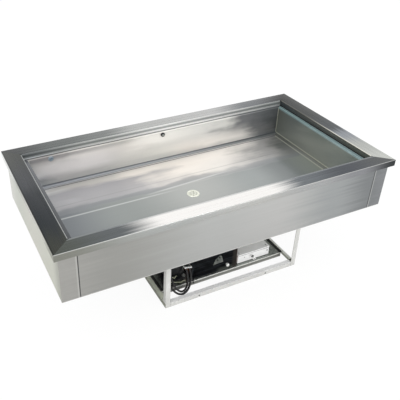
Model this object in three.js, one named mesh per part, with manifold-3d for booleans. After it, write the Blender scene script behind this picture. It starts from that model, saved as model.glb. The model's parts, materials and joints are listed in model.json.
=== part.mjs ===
// A refrigerated drop in food well: an insulated steel tank with a flat rim, and its
// condensing unit in a welded angle frame below. Millimetres, +Z up, front toward -Y.
// The origin is on the floor, below the middle of the rim.

import * as THREE from 'three';
import { mergeVertices } from 'three/addons/utils/BufferGeometryUtils.js';
import Module from 'manifold-3d';

const wasm = await Module();
wasm.setup();

// Fits shared by every piece
const fitGap = 0.3; // left between two pieces that touch
const overrun = 2; // how far a cutting shape runs past the face that it opens
const weld = 0.001; // corners closer than this are one corner

// Overall
const rimLength = 1350;
const rimWidth = 700;
const overallHeight = 500;
const casingDepth = 210; // rim top down to the underside of the casing

// Rim
const rimSheet = 2;
const rimEndBorder = 65;
const rimSideBorder = 60;
const lipDrop = 26;
const stepDrop = 22; // rim top down to the pan ledge

// Tank
const wellDepth = 162; // rim top down to the well floor
const tankSheet = 2;
const ledgeWidth = 20;
const hangFlange = 30; // tank flange that runs out below the rim
const coveRadius = 12;
const breakWidth = 15;

// Outer casing
const casingInset = 15; // rim edge back to the casing
const casingSheet = 1.5;
const coverReturn = 62; // how far an end cover wraps onto the front and back
const coolingSpace = 11; // below the tank floor, for the cooling pipe

// Drain
const drainX = -14;
const drainY = -18;
const drainFlangeRadius = 25.5;
const drainFlangeThick = 1.5;
const drainCupRadius = 22;
const drainCupDepth = 16;
const drainTailRadius = 19.5;
const drainBore = 17;
const drainTailBelow = 27; // tail left proud below the casing
const strainerSeat = 2.4; // depth of the seat below the flange top
const strainerThick = 1.8;
const strainerEdge = 3.4; // cup wall beside the strainer
const strainerHole = 2.1;
const drainNutSize = 50;
const drainNutSides = 6;
const drainNutHeight = 7;

// Wall fittings
const probeX = -11;
const probeDrop = 33; // below the rim top
const probeRadius = 9;
const probeReach = 11;
const probeStem = 4;
const grommetInset = 89; // from the tank's left wall
const grommetDrop = 34;
const grommetRadius = 11;
const grommetBore = 4.5;
const grommetReach = 5;

// Cooling pipe
const coolingPipe = 10; // diameter
const coolingEndRoom = 50; // from the end of a run to the tank's wall
const coolingRunShare = 0.311; // one run to the next, of the tank's half width
const coolingRunShares = [2.5, 1.5, 0.5, -0.5, -1.5]; // of that step, from the drain
const coolingTail = 8; // tails left proud below the casing
const pipeHoleClear = 3;
const foamHoleClear = 9; // room in the foam for the bends above

// Frame of angle iron
const frameLength = 610;
const frameSetbackShare = 0.1643; // rim edge to the frame, of the rim's width
const frameOffset = 66; // frame centre, right of the rim centre
const angleSize = 20;
const angleThick = 3;
const railHole = 3.2;
const railHoleInset = 149; // from each end of the front rail
const railHoleHeight = 8.5;

// Deck that carries the condensing unit
const crossSetback = 72; // frame face to a cross rail
const deckThick = 2;
const deckSideGap = 6;
const sealWidth = 11;
const sealHeight = 5;

// Compressor
const shellRadiusX = 60;
const shellRadiusY = 66;
const shellHeightShare = 0.621; // of the room above its foot plate
const shellBulge = 34; // height of each domed end
const compressorSideGap = 5;
const compressorBack = 88; // deck front to the compressor's centre
const footPlateX = 106;
const footPlateY = 144;
const footPlateThick = 3;
const footRadius = 10;
const footHeight = 13;
const footInset = 13;
const stubRadius = 6;
const stubRise = 16;
const stubOffset = 25;
const terminalX = 46;
const terminalY = 26;
const terminalHeightShare = 0.37; // of the shell's height
const terminalRiseShare = 0.215;

// Condenser
const condenserGap = 5; // from the compressor shell
const condenserLengthShare = 0.378; // of the deck's length
const condenserDepth = 45;
const condenserHeightShare = 0.7295; // of the room above the deck
const condenserSetback = 8; // behind the deck's front edge
const tubeRows = 8;
const tubeGroove = 3;
const endPlateThick = 1.8;
const endPlateRim = 2;
const linePortRadius = 5;
const linePortHeight = 4;
const linePortInset = 25;

// Fan
const shroudDepth = 24;
const shroudSheet = 1.5;
const fanMargin = 17.5; // blade tips to the edge of the condenser
const fanTipGap = 6;
const fanBlades = 5;
const bladeChord = 58;
const bladeThick = 2.2;
const bladePitch = 26; // degrees
const bladeInset = 4; // blade roots run this far into the hub
const bladeRootShare = 0.45; // width at the root, of the width at the tip
const bladeTwistShare = 0.6; // pitch lost from root to tip
const hubRadius = 22;
const hubLength = 20;
const fanStandoff = 4;
const shaftRadius = 4;
const shaftLength = 12;
const motorRadius = 37;
const motorLength = 52;
const bracketWidth = 66;
const bracketThick = 3;
const bracketFoot = 40;

// Filter drier and pipes
const drierRadius = 11;
const drierLengthShare = 0.41; // of the condenser's height
const drierRiseShare = 0.345;
const drierNeck = 14;
const drierInset = 28; // from the condenser's right end
const drierRoom = 150; // behind the condenser
const linePipe = 8; // diameter
const suctionPipe = 12; // diameter
const pipeBend = 14;
const dischargeRise = 15;
const liquidRise = 20;
const riserReach = 100; // from the drier across to the feed of the cooling pipe
const riserRiseShare = 0.22; // of the condenser's height

// Control box
const boxGap = 10; // from the condenser
const boxEndShare = 0.09; // of the deck's length, left free at its right end
const boxSetback = 13; // behind the deck's front edge
const boxDepth = 110;
const boxHeight = 40;
const boxSheet = 2;
const lidThick = 4;
const lidLip = 1.5;
const boxHoleRadius = 3;
const boxHoleInset = 8;
const boxHoleHeight = 23;
const lugWidth = 14;
const lugReach = 9;
const lugShare = 0.484; // along the box from its left end
const lugThick = 2;

// Switch and thermostat, on the right end of the control box
const bezelDepth = 18; // along y
const bezelHeight = 26;
const bezelFlange = 2;
const bezelBody = 14;
const bezelWall = 2;
const rockerRadius = 9;
const rockerDish = 2; // how far each rocker face falls to its middle
const rockerGap = 0.5;
const switchInset = 30; // from the front of the box
const knobRadius = 13;
const knobLength = 14;
const knobShaft = 3;
const knobShaftLength = 9;
const knobStandoff = 1;
const knobInset = 75; // from the front of the box
const knobGrip = 1.6;

// Small fittings on the condenser face
const valvePlateLength = 48;
const valvePlateHeight = 40;
const valvePlateThick = 2;
const valvePlateX = 97; // from the condenser's left end
const valvePlateZ = 42; // above the deck
const valvePlateHole = 4;
const capX = 164; // from the condenser's left end
const capZ = 25; // above the deck
const capRadius = 7;
const capLength = 13;

// Supply cord, with its surplus in a hank behind the left post
const cordDiameter = 8;
const cordSides = 8;
const hankSides = 6;
const loopSteps = 36;
const hankX = -168;
const hankSetback = 35; // frame's face to the hank
const hankDrop = 170; // casing down to the loops' middle
const hankTilt = -13.4; // degrees, top toward the left
const hankHalfWidth = 47.6; // of the outer loop, to the middle of the cord
const hankHalfHeight = 109;
const hankStep = 14.2; // outer loop to inner loop
const hankLayer = 8.8; // front layer to back layer
const hankBackRight = 2.3; // the back layer hangs a little beside and below the front one
const hankBackDrop = 9.4;
const hankFirst = 0.2; // turns past the top where the hank starts
const hankLast = 3.9; // turns past the top where it ends
const changeTurns = 0.09; // length of each change from one place to the next
const inwardFrom = 1.12;
const backwardFrom = 2.03;
const outwardFrom = 2.9;
const glandX = -64;
const glandSetback = 27; // frame's face to the gland
const glandNut = 11;
const glandNutHeight = 14;
const glandTip = 5.2;
const reliefLength = 25;
const plugHeight = 30;
const plugWidth = 34;
const plugBody = 40;
const plugRelief = 20;
const plugReliefTip = 5;
const plugReliefRoot = 8;
const plugX = 24; // where the plug body starts
const plugCorner = 9;
const pinRadius = 2.4;
const pinLength = 19;
const pinPitch = 19;
const tieX = -133;
const tieRise = 30; // above the loops' middle
const tieTilt = 15; // degrees, right end down
const tieThick = 1.2;
const tieHeight = 4.6;
const tieHeadSize = 7;
const tieTail = 25;
const passFrom = 0.1; // turns past the top between which a strand passes the tie
const passTo = 0.4;
const passHalvings = 24;
const hookRadius = 3;
const hookBend = 6;
const hookTip = 10;
const hookFoot = 12;
const hookFootThick = 3;
const hookSeat = 0.8; // cord to the rod under it
const hookClear = 5.6; // hook rod to the front of the hank

// Round pieces
const fineSides = 32;
const roundSides = 20;
const smallSides = 12;
const pipeSides = 8;
const bendSteps = 4;

// Finishes
const finish = (color, roughness, metalness) => {
  return new THREE.MeshStandardMaterial({ color, roughness, metalness });
};
const brushedSteel = finish(0xb4b6b7, 0.32, 1);
const tankSteel = finish(0xc4c3c1, 0.22, 1);
const whitePaint = finish(0xe9e8e2, 0.5, 0);
const galvanised = finish(0x8f918c, 0.45, 1);
const blackSteel = finish(0x17181b, 0.42, 0.2);
const finBlack = finish(0x1b1c1f, 0.6, 0.3);
const copper = finish(0xa9653f, 0.35, 1);
const chromed = finish(0xd9d9d4, 0.2, 1);
const foam = finish(0xd9c27a, 0.9, 0);
const blackRubber = finish(0x121212, 0.8, 0);
const blackPlastic = finish(0x1c1c1e, 0.5, 0);
const greyPlastic = finish(0x8b9398, 0.5, 0);
const whitePlastic = finish(0xf0f0ec, 0.45, 0);
const cordPlastic = finish(0x111112, 0.55, 0);

// Heights and faces that several pieces share
const rimTop = overallHeight;
const frameHeight = overallHeight - casingDepth;
const rimX = rimLength / 2;
const rimY = rimWidth / 2;
const openingX = rimX - rimEndBorder;
const openingY = rimY - rimSideBorder;
const ledgeTop = rimTop - stepDrop;
const wallX = openingX - ledgeWidth;
const wallY = openingY - ledgeWidth;
const grommetX = -wallX + grommetInset;
const coolingReach = wallX - coolingEndRoom;
const floorTop = rimTop - wellDepth;
const floorUnder = floorTop - tankSheet;
const flangeX = openingX + hangFlange;
const flangeY = openingY + hangFlange;
const casingX = rimX - casingInset;
const casingY = rimY - casingInset;
const casingTop = rimTop - rimSheet - fitGap;
const casingUnder = frameHeight;
const foamUnder = casingUnder + casingSheet + fitGap;
const frameDepth = rimWidth - 2 * rimWidth * frameSetbackShare;
const frameLeft = frameOffset - frameLength / 2;
const frameRight = frameOffset + frameLength / 2;
const frameFront = -frameDepth / 2;
const frameBack = frameDepth / 2;
const railTop = angleSize;
const frameTop = frameHeight - fitGap;
const deckLeft = frameLeft + angleSize + deckSideGap;
const deckRight = frameRight - angleSize - deckSideGap;
const deckFront = frameFront + crossSetback;
const deckBack = frameBack - crossSetback;
const deckTop = railTop + fitGap + deckThick;
const standing = deckTop + fitGap; // underside of what stands on the deck
const condenserHeight = (casingUnder - standing) * condenserHeightShare;
const deckLength = deckRight - deckLeft;
const compressorX = deckLeft + compressorSideGap + shellRadiusX;
const condenserLength = deckLength * condenserLengthShare;
const condenserLeft = compressorX + shellRadiusX + condenserGap;
const condenserRight = condenserLeft + condenserLength;
const fanRadius = Math.min(condenserHeight, condenserLength) / 2 - fanMargin;
const drierX = condenserRight - drierInset;
const coolingFeedX = drierX + riserReach;
const coolingReturnX = compressorX + stubOffset;

const group = new THREE.Group();

// Turns faces outward where a mirrored or turned shape came out inside out
function outward(geometry) {
  const shape = geometry.index ? geometry : mergeVertices(geometry);
  const places = shape.attributes.position;
  const order = shape.index.array;
  const a = new THREE.Vector3();
  const b = new THREE.Vector3();
  const c = new THREE.Vector3();
  let volume = 0;
  for (let i = 0; i < order.length; i += 3) {
    a.fromBufferAttribute(places, order[i]);
    b.fromBufferAttribute(places, order[i + 1]);
    c.fromBufferAttribute(places, order[i + 2]);
    volume += a.dot(b.cross(c));
  }
  if (volume < 0) {
    for (let i = 0; i < order.length; i += 3) {
      const swap = order[i];
      order[i] = order[i + 1];
      order[i + 1] = swap;
    }
  }
  return shape;
}

// Leaves only position, with shared corners and no triangle of zero area
function tidy(geometry) {
  const bare = geometry.clone();
  bare.deleteAttribute('normal');
  bare.deleteAttribute('uv');
  const merged = mergeVertices(bare, weld);
  const order = [];
  const old = merged.index.array;
  for (let i = 0; i < old.length; i += 3) {
    const [a, b, c] = [old[i], old[i + 1], old[i + 2]];
    if (a !== b && b !== c && c !== a) {
      order.push(a, b, c);
    }
  }
  merged.setIndex(order);
  return outward(merged);
}

function toSolid(geometry) {
  const shape = tidy(geometry);
  const mesh = new wasm.Mesh({
    numProp: 3,
    vertProperties: Float32Array.from(shape.attributes.position.array),
    triVerts: Uint32Array.from(shape.index.array),
  });
  return new wasm.Manifold(mesh);
}

function toGeometry(solid) {
  const mesh = solid.getMesh();
  const geometry = new THREE.BufferGeometry();
  const places = new THREE.BufferAttribute(Float32Array.from(mesh.vertProperties), 3);
  geometry.setAttribute('position', places);
  geometry.setIndex(Array.from(mesh.triVerts));
  return geometry;
}

function cut(base, ...tools) {
  let solid = toSolid(base);
  for (const tool of tools) {
    solid = solid.subtract(toSolid(tool));
  }
  return toGeometry(solid);
}

function join(base, ...others) {
  let solid = toSolid(base);
  for (const other of others) {
    solid = solid.add(toSolid(other));
  }
  return toGeometry(solid);
}

function addPart(name, geometry, material, parent = group) {
  const mesh = new THREE.Mesh(tidy(geometry), material);
  mesh.name = name;
  parent.add(mesh);
  return mesh;
}

function block(x0, x1, y0, y1, z0, z1) {
  const shape = new THREE.BoxGeometry(x1 - x0, y1 - y0, z1 - z0);
  return shape.translate((x0 + x1) / 2, (y0 + y1) / 2, (z0 + z1) / 2);
}

// A closed profile of [half length, half width, height] rows, taken round a rectangle
function rectangularRing(rows) {
  const corners = [[-1, -1], [1, -1], [1, 1], [-1, 1]];
  const places = [];
  for (const [sx, sy] of corners) {
    for (const [x, y, z] of rows) {
      places.push(sx * x, sy * y, z);
    }
  }
  const order = [];
  const count = rows.length;
  for (let corner = 0; corner < corners.length; corner += 1) {
    const next = (corner + 1) % corners.length;
    for (let row = 0; row < count; row += 1) {
      const after = (row + 1) % count;
      const a = corner * count + row;
      const b = next * count + row;
      const c = next * count + after;
      const d = corner * count + after;
      order.push(a, b, c, a, c, d);
    }
  }
  const geometry = new THREE.BufferGeometry();
  geometry.setAttribute('position', new THREE.Float32BufferAttribute(places, 3));
  geometry.setIndex(order);
  return outward(geometry);
}

// A profile of [radius, height] pairs turned about the Z axis
function turned(profile, sides) {
  const points = profile.map(([radius, height]) => new THREE.Vector2(radius, height));
  return new THREE.LatheGeometry(points, sides).rotateX(Math.PI / 2);
}

function closedTurned(profile, sides) {
  return turned([...profile, profile[0]], sides);
}

function rod(radius, z0, z1, sides = roundSides) {
  const shape = new THREE.CylinderGeometry(radius, radius, z1 - z0, sides);
  return shape.rotateX(Math.PI / 2).translate(0, 0, (z0 + z1) / 2);
}

function outline(points) {
  return new THREE.Shape(points.map(([x, y]) => new THREE.Vector2(x, y)));
}

function extruded(shape, depth, curveSegments = 4) {
  return new THREE.ExtrudeGeometry(shape, { depth, bevelEnabled: false, curveSegments });
}

function roundedOutline(halfX, halfY, corner) {
  const shape = new THREE.Shape();
  const right = halfX - corner;
  const top = halfY - corner;
  shape.absarc(right, -top, corner, -Math.PI / 2, 0);
  shape.absarc(right, top, corner, 0, Math.PI / 2);
  shape.absarc(-right, top, corner, Math.PI / 2, Math.PI);
  shape.absarc(-right, -top, corner, Math.PI, Math.PI * 1.5);
  return shape;
}

// Puts what was drawn looking along -Y, with x right and z up, onto its face
function faceFront(geometry) {
  return geometry.rotateX(Math.PI / 2);
}

// A route whose rings stand exactly on the listed points
class Route extends THREE.Curve {
  constructor(points) {
    super();
    this.points = points;
  }

  getPointAt(share, target = new THREE.Vector3()) {
    const last = this.points.length - 1;
    return target.copy(this.points[Math.round(share * last)]);
  }

  getPoint(share, target) {
    return this.getPointAt(share, target);
  }

  getTangentAt(share, target = new THREE.Vector3()) {
    const last = this.points.length - 1;
    const here = Math.round(share * last);
    const before = this.points[Math.max(here - 1, 0)];
    const after = this.points[Math.min(here + 1, last)];
    return target.copy(after).sub(before).normalize();
  }
}

// A tube on a list of points, with flat ends square to its first and last step
function tube(points, diameter, sides) {
  const section = new THREE.Shape();
  for (let side = 0; side < sides; side += 1) {
    const angle = (2 * Math.PI * side) / sides;
    const x = (diameter / 2) * Math.cos(angle);
    const y = (diameter / 2) * Math.sin(angle);
    if (side === 0) {
      section.moveTo(x, y);
    } else {
      section.lineTo(x, y);
    }
  }
  const path = new Route(points);
  const steps = points.length - 1;
  return new THREE.ExtrudeGeometry(section, { steps, extrudePath: path });
}

// Corner points with every corner rounded
function bentRoute(corners, radius, steps = bendSteps) {
  const at = corners.map(([x, y, z]) => new THREE.Vector3(x, y, z));
  const points = [at[0]];
  for (let i = 1; i < at.length - 1; i += 1) {
    const into = at[i].clone().sub(at[i - 1]).normalize();
    const out = at[i + 1].clone().sub(at[i]).normalize();
    const turn = into.angleTo(out);
    const reach = radius * Math.tan(turn / 2);
    const side = out.clone().sub(into.clone().multiplyScalar(into.dot(out))).normalize();
    const start = at[i].clone().addScaledVector(into, -reach);
    const centre = start.clone().addScaledVector(side, radius);
    for (let step = 0; step <= steps; step += 1) {
      const angle = (turn * step) / steps;
      const point = centre.clone();
      point.addScaledVector(side, -radius * Math.cos(angle));
      point.addScaledVector(into, radius * Math.sin(angle));
      points.push(point);
    }
  }
  points.push(at[at.length - 1]);
  return points;
}

function pipe(corners, diameter, radius = pipeBend, steps = bendSteps) {
  return tube(bentRoute(corners, radius, steps), diameter, pipeSides);
}

// Rim, tank and what hangs from them
addPart('rim_flange', rectangularRing([
  [openingX, openingY, ledgeTop + fitGap],
  [openingX, openingY, rimTop],
  [rimX, rimY, rimTop],
  [rimX, rimY, rimTop - lipDrop],
  [rimX - rimSheet, rimY - rimSheet, rimTop - lipDrop],
  [rimX - rimSheet, rimY - rimSheet, rimTop - rimSheet],
  [openingX + rimSheet, openingY + rimSheet, rimTop - rimSheet],
  [openingX + rimSheet, openingY + rimSheet, ledgeTop + fitGap],
]), brushedSteel);

function covePoints(radius) {
  const rows = [];
  for (let step = 1; step < bendSteps; step += 1) {
    const angle = (Math.PI / 2) * (step / bendSteps);
    const inward = coveRadius - radius * Math.cos(angle);
    const height = floorTop + coveRadius - radius * Math.sin(angle);
    rows.push([wallX - inward, wallY - inward, height]);
  }
  return rows;
}

const outerCove = coveRadius + tankSheet;
const floorX = wallX - coveRadius;
const floorY = wallY - coveRadius;
const tankWalls = rectangularRing([
  [flangeX, flangeY, ledgeTop],
  [wallX, wallY, ledgeTop],
  [wallX, wallY, floorTop + coveRadius],
  ...covePoints(coveRadius),
  [floorX, floorY, floorTop],
  [floorX, floorY, floorUnder],
  ...covePoints(outerCove).reverse(),
  [wallX + tankSheet, wallY + tankSheet, floorTop + coveRadius],
  [wallX + tankSheet, wallY + tankSheet, ledgeTop - tankSheet],
  [flangeX, flangeY, ledgeTop - tankSheet],
]);
const tankFloor = block(-floorX, floorX, -floorY, floorY, floorUnder, floorTop);
const drainHoleRadius = drainCupRadius + fitGap;
const drainHole = rod(drainHoleRadius, floorUnder - overrun, floorTop + overrun, fineSides);
drainHole.translate(drainX, drainY, 0);

function wallHole(x, drop, radius) {
  const hole = rod(radius, -overrun - tankSheet, overrun, smallSides).rotateX(Math.PI / 2);
  return hole.translate(x, wallY, rimTop - drop);
}

addPart('well_tank', cut(
  join(tankWalls, tankFloor),
  drainHole,
  wallHole(probeX, probeDrop, probeStem + fitGap),
  wallHole(grommetX, grommetDrop, grommetBore),
), tankSteel);

const breakTop = casingTop;
addPart('thermal_break', rectangularRing([
  [flangeX, flangeY, ledgeTop + fitGap],
  [flangeX, flangeY, breakTop],
  [flangeX - breakWidth, flangeY - breakWidth, breakTop],
  [flangeX - breakWidth, flangeY - breakWidth, ledgeTop + fitGap],
]), greyPlastic);

// Wall fittings just below the ledge
const probe = closedTurned([
  [0, -probeReach],
  [probeStem, -probeReach],
  [probeStem, 0],
  [probeRadius, 0],
  [probeRadius, probeReach / 3],
  [probeRadius * 0.7, probeReach * 0.7],
  [0, probeReach * 0.7],
], roundSides);
probe.rotateX(Math.PI / 2).translate(probeX, wallY - fitGap, rimTop - probeDrop);
addPart('probe_gland', probe, blackPlastic);

const grommet = closedTurned([
  [grommetBore, 0],
  [grommetRadius, 0],
  [grommetRadius, grommetReach / 2],
  [grommetRadius * 0.8, grommetReach],
  [grommetBore, grommetReach],
], roundSides);
grommet.rotateX(Math.PI / 2).translate(grommetX, wallY - fitGap, rimTop - grommetDrop);
addPart('wall_grommet', grommet, greyPlastic);

// Drain
const flangeUnder = floorTop + fitGap;
const flangeTop = flangeUnder + drainFlangeThick;
const cupUnder = flangeUnder - drainCupDepth;
const tailEnd = casingUnder - drainTailBelow;
const seatRadius = drainCupRadius - strainerEdge + fitGap;
const seatHeight = flangeTop - strainerSeat;
const drain = closedTurned([
  [drainBore, tailEnd],
  [drainTailRadius, tailEnd],
  [drainTailRadius, cupUnder],
  [drainCupRadius, cupUnder],
  [drainCupRadius, flangeUnder],
  [drainFlangeRadius, flangeUnder],
  [drainFlangeRadius, flangeTop],
  [seatRadius, flangeTop],
  [seatRadius, seatHeight],
  [drainBore, seatHeight],
], fineSides);
addPart('drain_body', drain.translate(drainX, drainY, 0), chromed);

const nutTop = floorUnder - fitGap;
const nutRadius = drainNutSize / 2 / Math.cos(Math.PI / drainNutSides);
const nutHex = new THREE.CylinderGeometry(nutRadius, nutRadius, drainNutHeight, drainNutSides);
nutHex.rotateX(Math.PI / 2).rotateZ(Math.PI / 2);
nutHex.translate(0, 0, nutTop - drainNutHeight / 2);
const nutBore = rod(drainHoleRadius, nutTop - drainNutHeight - overrun, nutTop + overrun);
addPart('drain_nut', cut(nutHex, nutBore).translate(drainX, drainY, 0), chromed);

const strainerRadius = seatRadius - fitGap;
const strainerShape = new THREE.Shape();
strainerShape.absarc(0, 0, strainerRadius, 0, Math.PI * 2);
const holeRingShares = [[0, 1], [0.37, 6], [0.73, 12]];
for (const [share, count] of holeRingShares) {
  for (let i = 0; i < count; i += 1) {
    const angle = (2 * Math.PI * i) / count;
    const hole = new THREE.Path();
    const x = share * strainerRadius * Math.cos(angle);
    const y = share * strainerRadius * Math.sin(angle);
    hole.absarc(x, y, strainerHole, 0, Math.PI * 2, true);
    strainerShape.holes.push(hole);
  }
}
const strainer = extruded(strainerShape, strainerThick, pipeSides);
strainer.translate(drainX, drainY, seatHeight + fitGap);
addPart('drain_strainer', strainer, chromed);

// Cooling pipe fixed under the tank floor
const coolingZ = floorUnder - fitGap - coolingPipe / 2;
const coolingEnd = casingUnder - coolingTail;
const coolingPitch = wallY * coolingRunShare;
const runY = coolingRunShares.map((share) => drainY + share * coolingPitch);
addPart('cooling_pipe', pipe([
  [coolingFeedX, runY[0], coolingEnd],
  [coolingFeedX, runY[0], coolingZ],
  [coolingReach, runY[0], coolingZ],
  [coolingReach, runY[1], coolingZ],
  [-coolingReach, runY[1], coolingZ],
  [-coolingReach, runY[2], coolingZ],
  [coolingReach, runY[2], coolingZ],
  [coolingReach, runY[3], coolingZ],
  [-coolingReach, runY[3], coolingZ],
  [-coolingReach, runY[4], coolingZ],
  [coolingReturnX, runY[4], coolingZ],
  [coolingReturnX, runY[4], coolingEnd],
], coolingPipe), copper);

const panelHoleTop = casingUnder + casingSheet + overrun;
const panelHoleUnder = casingUnder - overrun;

function foamPipeHole(x, y) {
  const radius = coolingPipe / 2 + foamHoleClear;
  return rod(radius, foamUnder - overrun, floorTop, smallSides).translate(x, y, 0);
}

function panelPipeHole(x, y) {
  const radius = coolingPipe / 2 + pipeHoleClear;
  return rod(radius, panelHoleUnder, panelHoleTop, smallSides).translate(x, y, 0);
}

// Foam between the tank and the casing
const foamX = casingX - casingSheet - fitGap;
const foamY = casingY - casingSheet - fitGap;
const foamTop = ledgeTop - tankSheet - fitGap;
const pocketX = wallX + tankSheet + fitGap;
const pocketY = wallY + tankSheet + fitGap;
const pocketFloor = floorUnder - coolingSpace;
const foamBlock = block(-foamX, foamX, -foamY, foamY, foamUnder, foamTop);
const pocket = block(-pocketX, pocketX, -pocketY, pocketY, pocketFloor, foamTop + overrun);
const foamDrainHole = rod(drainCupRadius + pipeHoleClear, foamUnder - overrun, floorTop);
foamDrainHole.translate(drainX, drainY, 0);

function foamWallHole(x, drop, radius, reach) {
  const hole = rod(radius, -reach - overrun, overrun, smallSides).rotateX(Math.PI / 2);
  return hole.translate(x, pocketY - overrun, rimTop - drop);
}

addPart('insulation', cut(
  foamBlock,
  pocket,
  foamDrainHole,
  foamPipeHole(coolingFeedX, runY[0]),
  foamPipeHole(coolingReturnX, runY[4]),
  foamWallHole(probeX, probeDrop, probeStem + fitGap, probeReach),
), foam);

// Casing panels
const returnX = casingX - coverReturn;
const panelX = returnX - fitGap;
const innerY = casingY - casingSheet;
addPart('front_panel', block(
  -panelX, panelX, -casingY, -innerY, casingUnder, casingTop,
), brushedSteel);
addPart('back_panel', block(
  -panelX, panelX, innerY, casingY, casingUnder, casingTop,
), brushedSteel);

function endCover(side) {
  const inner = casingX - casingSheet;
  const shape = outline([
    [side * returnX, -casingY],
    [side * casingX, -casingY],
    [side * casingX, casingY],
    [side * returnX, casingY],
    [side * returnX, innerY],
    [side * inner, innerY],
    [side * inner, -innerY],
    [side * returnX, -innerY],
  ]);
  return extruded(shape, casingTop - casingUnder).translate(0, 0, casingUnder);
}

addPart('end_cover_left', endCover(-1), brushedSteel);
addPart('end_cover_right', endCover(1), brushedSteel);

const bottomDrainHole = rod(drainTailRadius + fitGap, panelHoleUnder, panelHoleTop);
bottomDrainHole.translate(drainX, drainY, 0);
addPart('bottom_panel', cut(
  block(-foamX, foamX, -foamY, foamY, casingUnder, casingUnder + casingSheet),
  bottomDrainHole,
  panelPipeHole(coolingFeedX, runY[0]),
  panelPipeHole(coolingReturnX, runY[4]),
), galvanised);

// Frame of angle iron. A post's profile lies in plan, a rail's across its length
function angleProfile() {
  return outline([
    [0, 0],
    [angleSize, 0],
    [angleSize, angleThick],
    [angleThick, angleThick],
    [angleThick, angleSize],
    [0, angleSize],
  ]);
}

function post(x, y) {
  const bar = extruded(angleProfile(), frameTop);
  bar.scale(x === frameLeft ? 1 : -1, y === frameFront ? 1 : -1, 1);
  return bar.translate(x, y, 0);
}

addPart('post_front_left', post(frameLeft, frameFront), whitePaint);
addPart('post_front_right', post(frameRight, frameFront), whitePaint);
addPart('post_back_left', post(frameLeft, frameBack), whitePaint);
addPart('post_back_right', post(frameRight, frameBack), whitePaint);

// The upright flange is outside and the level flange runs inward along the top
function railProfile() {
  return outline([
    [0, 0],
    [angleThick, 0],
    [angleThick, angleSize - angleThick],
    [angleSize, angleSize - angleThick],
    [angleSize, angleSize],
    [0, angleSize],
  ]);
}

function railAlongX(x0, x1, y, inward, z) {
  const bar = extruded(railProfile(), x1 - x0);
  bar.rotateX(Math.PI / 2).rotateZ(Math.PI / 2);
  bar.scale(1, inward, 1);
  return bar.translate(x0, y, z);
}

function railAlongY(y0, y1, x, inward, z) {
  const bar = extruded(railProfile(), y1 - y0);
  bar.rotateX(Math.PI / 2).scale(inward, -1, 1);
  return bar.translate(x, y0, z);
}

const railLeft = frameLeft + angleSize + fitGap;
const railRight = frameRight - angleSize - fitGap;
const railFront = frameFront + angleSize + fitGap;
const railBack = frameBack - angleSize - fitGap;

function frontRailHole(x) {
  const hole = rod(railHole, -overrun - angleThick, overrun, smallSides).rotateX(Math.PI / 2);
  return hole.translate(x, frameFront, railHoleHeight);
}

addPart('rail_front', cut(
  railAlongX(railLeft, railRight, frameFront, 1, 0),
  frontRailHole(frameLeft + railHoleInset),
  frontRailHole(frameRight - railHoleInset),
), whitePaint);
addPart('rail_back', railAlongX(railLeft, railRight, frameBack, -1, 0), whitePaint);
addPart('rail_left', railAlongY(railFront, railBack, frameLeft, 1, 0), whitePaint);
addPart('rail_right', railAlongY(railFront, railBack, frameRight, -1, 0), whitePaint);
const upperRail = frameTop - angleSize;
addPart('rail_top_left', railAlongY(railFront, railBack, frameLeft, 1, upperRail), whitePaint);
addPart('rail_top_right', railAlongY(railFront, railBack, frameRight, -1, upperRail), whitePaint);
addPart('cross_rail_front', railAlongX(railLeft, railRight, deckFront, 1, 0), whitePaint);
addPart('cross_rail_back', railAlongX(railLeft, railRight, deckBack, -1, 0), whitePaint);

// Deck with a rubber strip along each side
addPart('deck_plate', block(
  deckLeft, deckRight, deckFront, deckBack, railTop + fitGap, deckTop,
), galvanised);

function edgeSeal(side) {
  const inner = side < 0 ? deckLeft - fitGap : deckRight + fitGap;
  const outer = inner + side * sealWidth;
  const z0 = railTop + fitGap;
  return block(
    Math.min(inner, outer), Math.max(inner, outer), deckFront, deckBack, z0, z0 + sealHeight,
  );
}

addPart('edge_seal_left', edgeSeal(-1), blackRubber);
addPart('edge_seal_right', edgeSeal(1), blackRubber);

// Compressor on four rubber feet
const compressorY = deckFront + compressorBack;
const footTop = standing + footHeight;
const plateUnder = footTop + fitGap;
const plateTop = plateUnder + footPlateThick;
const shellHeight = (casingUnder - plateTop) * shellHeightShare;
const shellTop = plateTop + shellHeight;
const terminalUnder = plateTop + shellHeight * terminalRiseShare;
const terminalHeight = shellHeight * terminalHeightShare;
const footNames = ['foot_front_left', 'foot_front_right', 'foot_back_left', 'foot_back_right'];
const footSides = [[-1, -1], [1, -1], [-1, 1], [1, 1]];
footNames.forEach((name, i) => {
  const foot = rod(footRadius, standing, footTop, smallSides);
  const x = compressorX + footSides[i][0] * (footPlateX / 2 - footInset);
  const y = compressorY + footSides[i][1] * (footPlateY / 2 - footInset);
  addPart(name, foot.translate(x, y, 0), blackRubber);
});

const domeShares = [[0, 0], [0.55, 0.16], [0.86, 0.5], [1, 1]];
const shellProfile = domeShares.map(([out, up]) => [shellRadiusY * out, shellBulge * up]);
const shellUpper = domeShares.map(([out, up]) => [shellRadiusY * out, -shellBulge * up]);
shellUpper.reverse();
const shell = turned([
  ...shellProfile,
  ...shellUpper.map(([r, z]) => [r, shellHeight + z]),
], roundSides);
shell.scale(shellRadiusX / shellRadiusY, 1, 1).translate(compressorX, compressorY, plateTop);
const footPlate = block(
  compressorX - footPlateX / 2, compressorX + footPlateX / 2,
  compressorY - footPlateY / 2, compressorY + footPlateY / 2,
  plateUnder, plateTop + overrun,
);
const stubTop = shellTop + stubRise;
const stubRoot = shellTop - shellBulge;
const suctionX = coolingReturnX;
const dischargeY = compressorY + stubOffset;
const suctionStub = rod(stubRadius, stubRoot, stubTop, smallSides);
const dischargeStub = rod(stubRadius, stubRoot, stubTop, smallSides);
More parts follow.
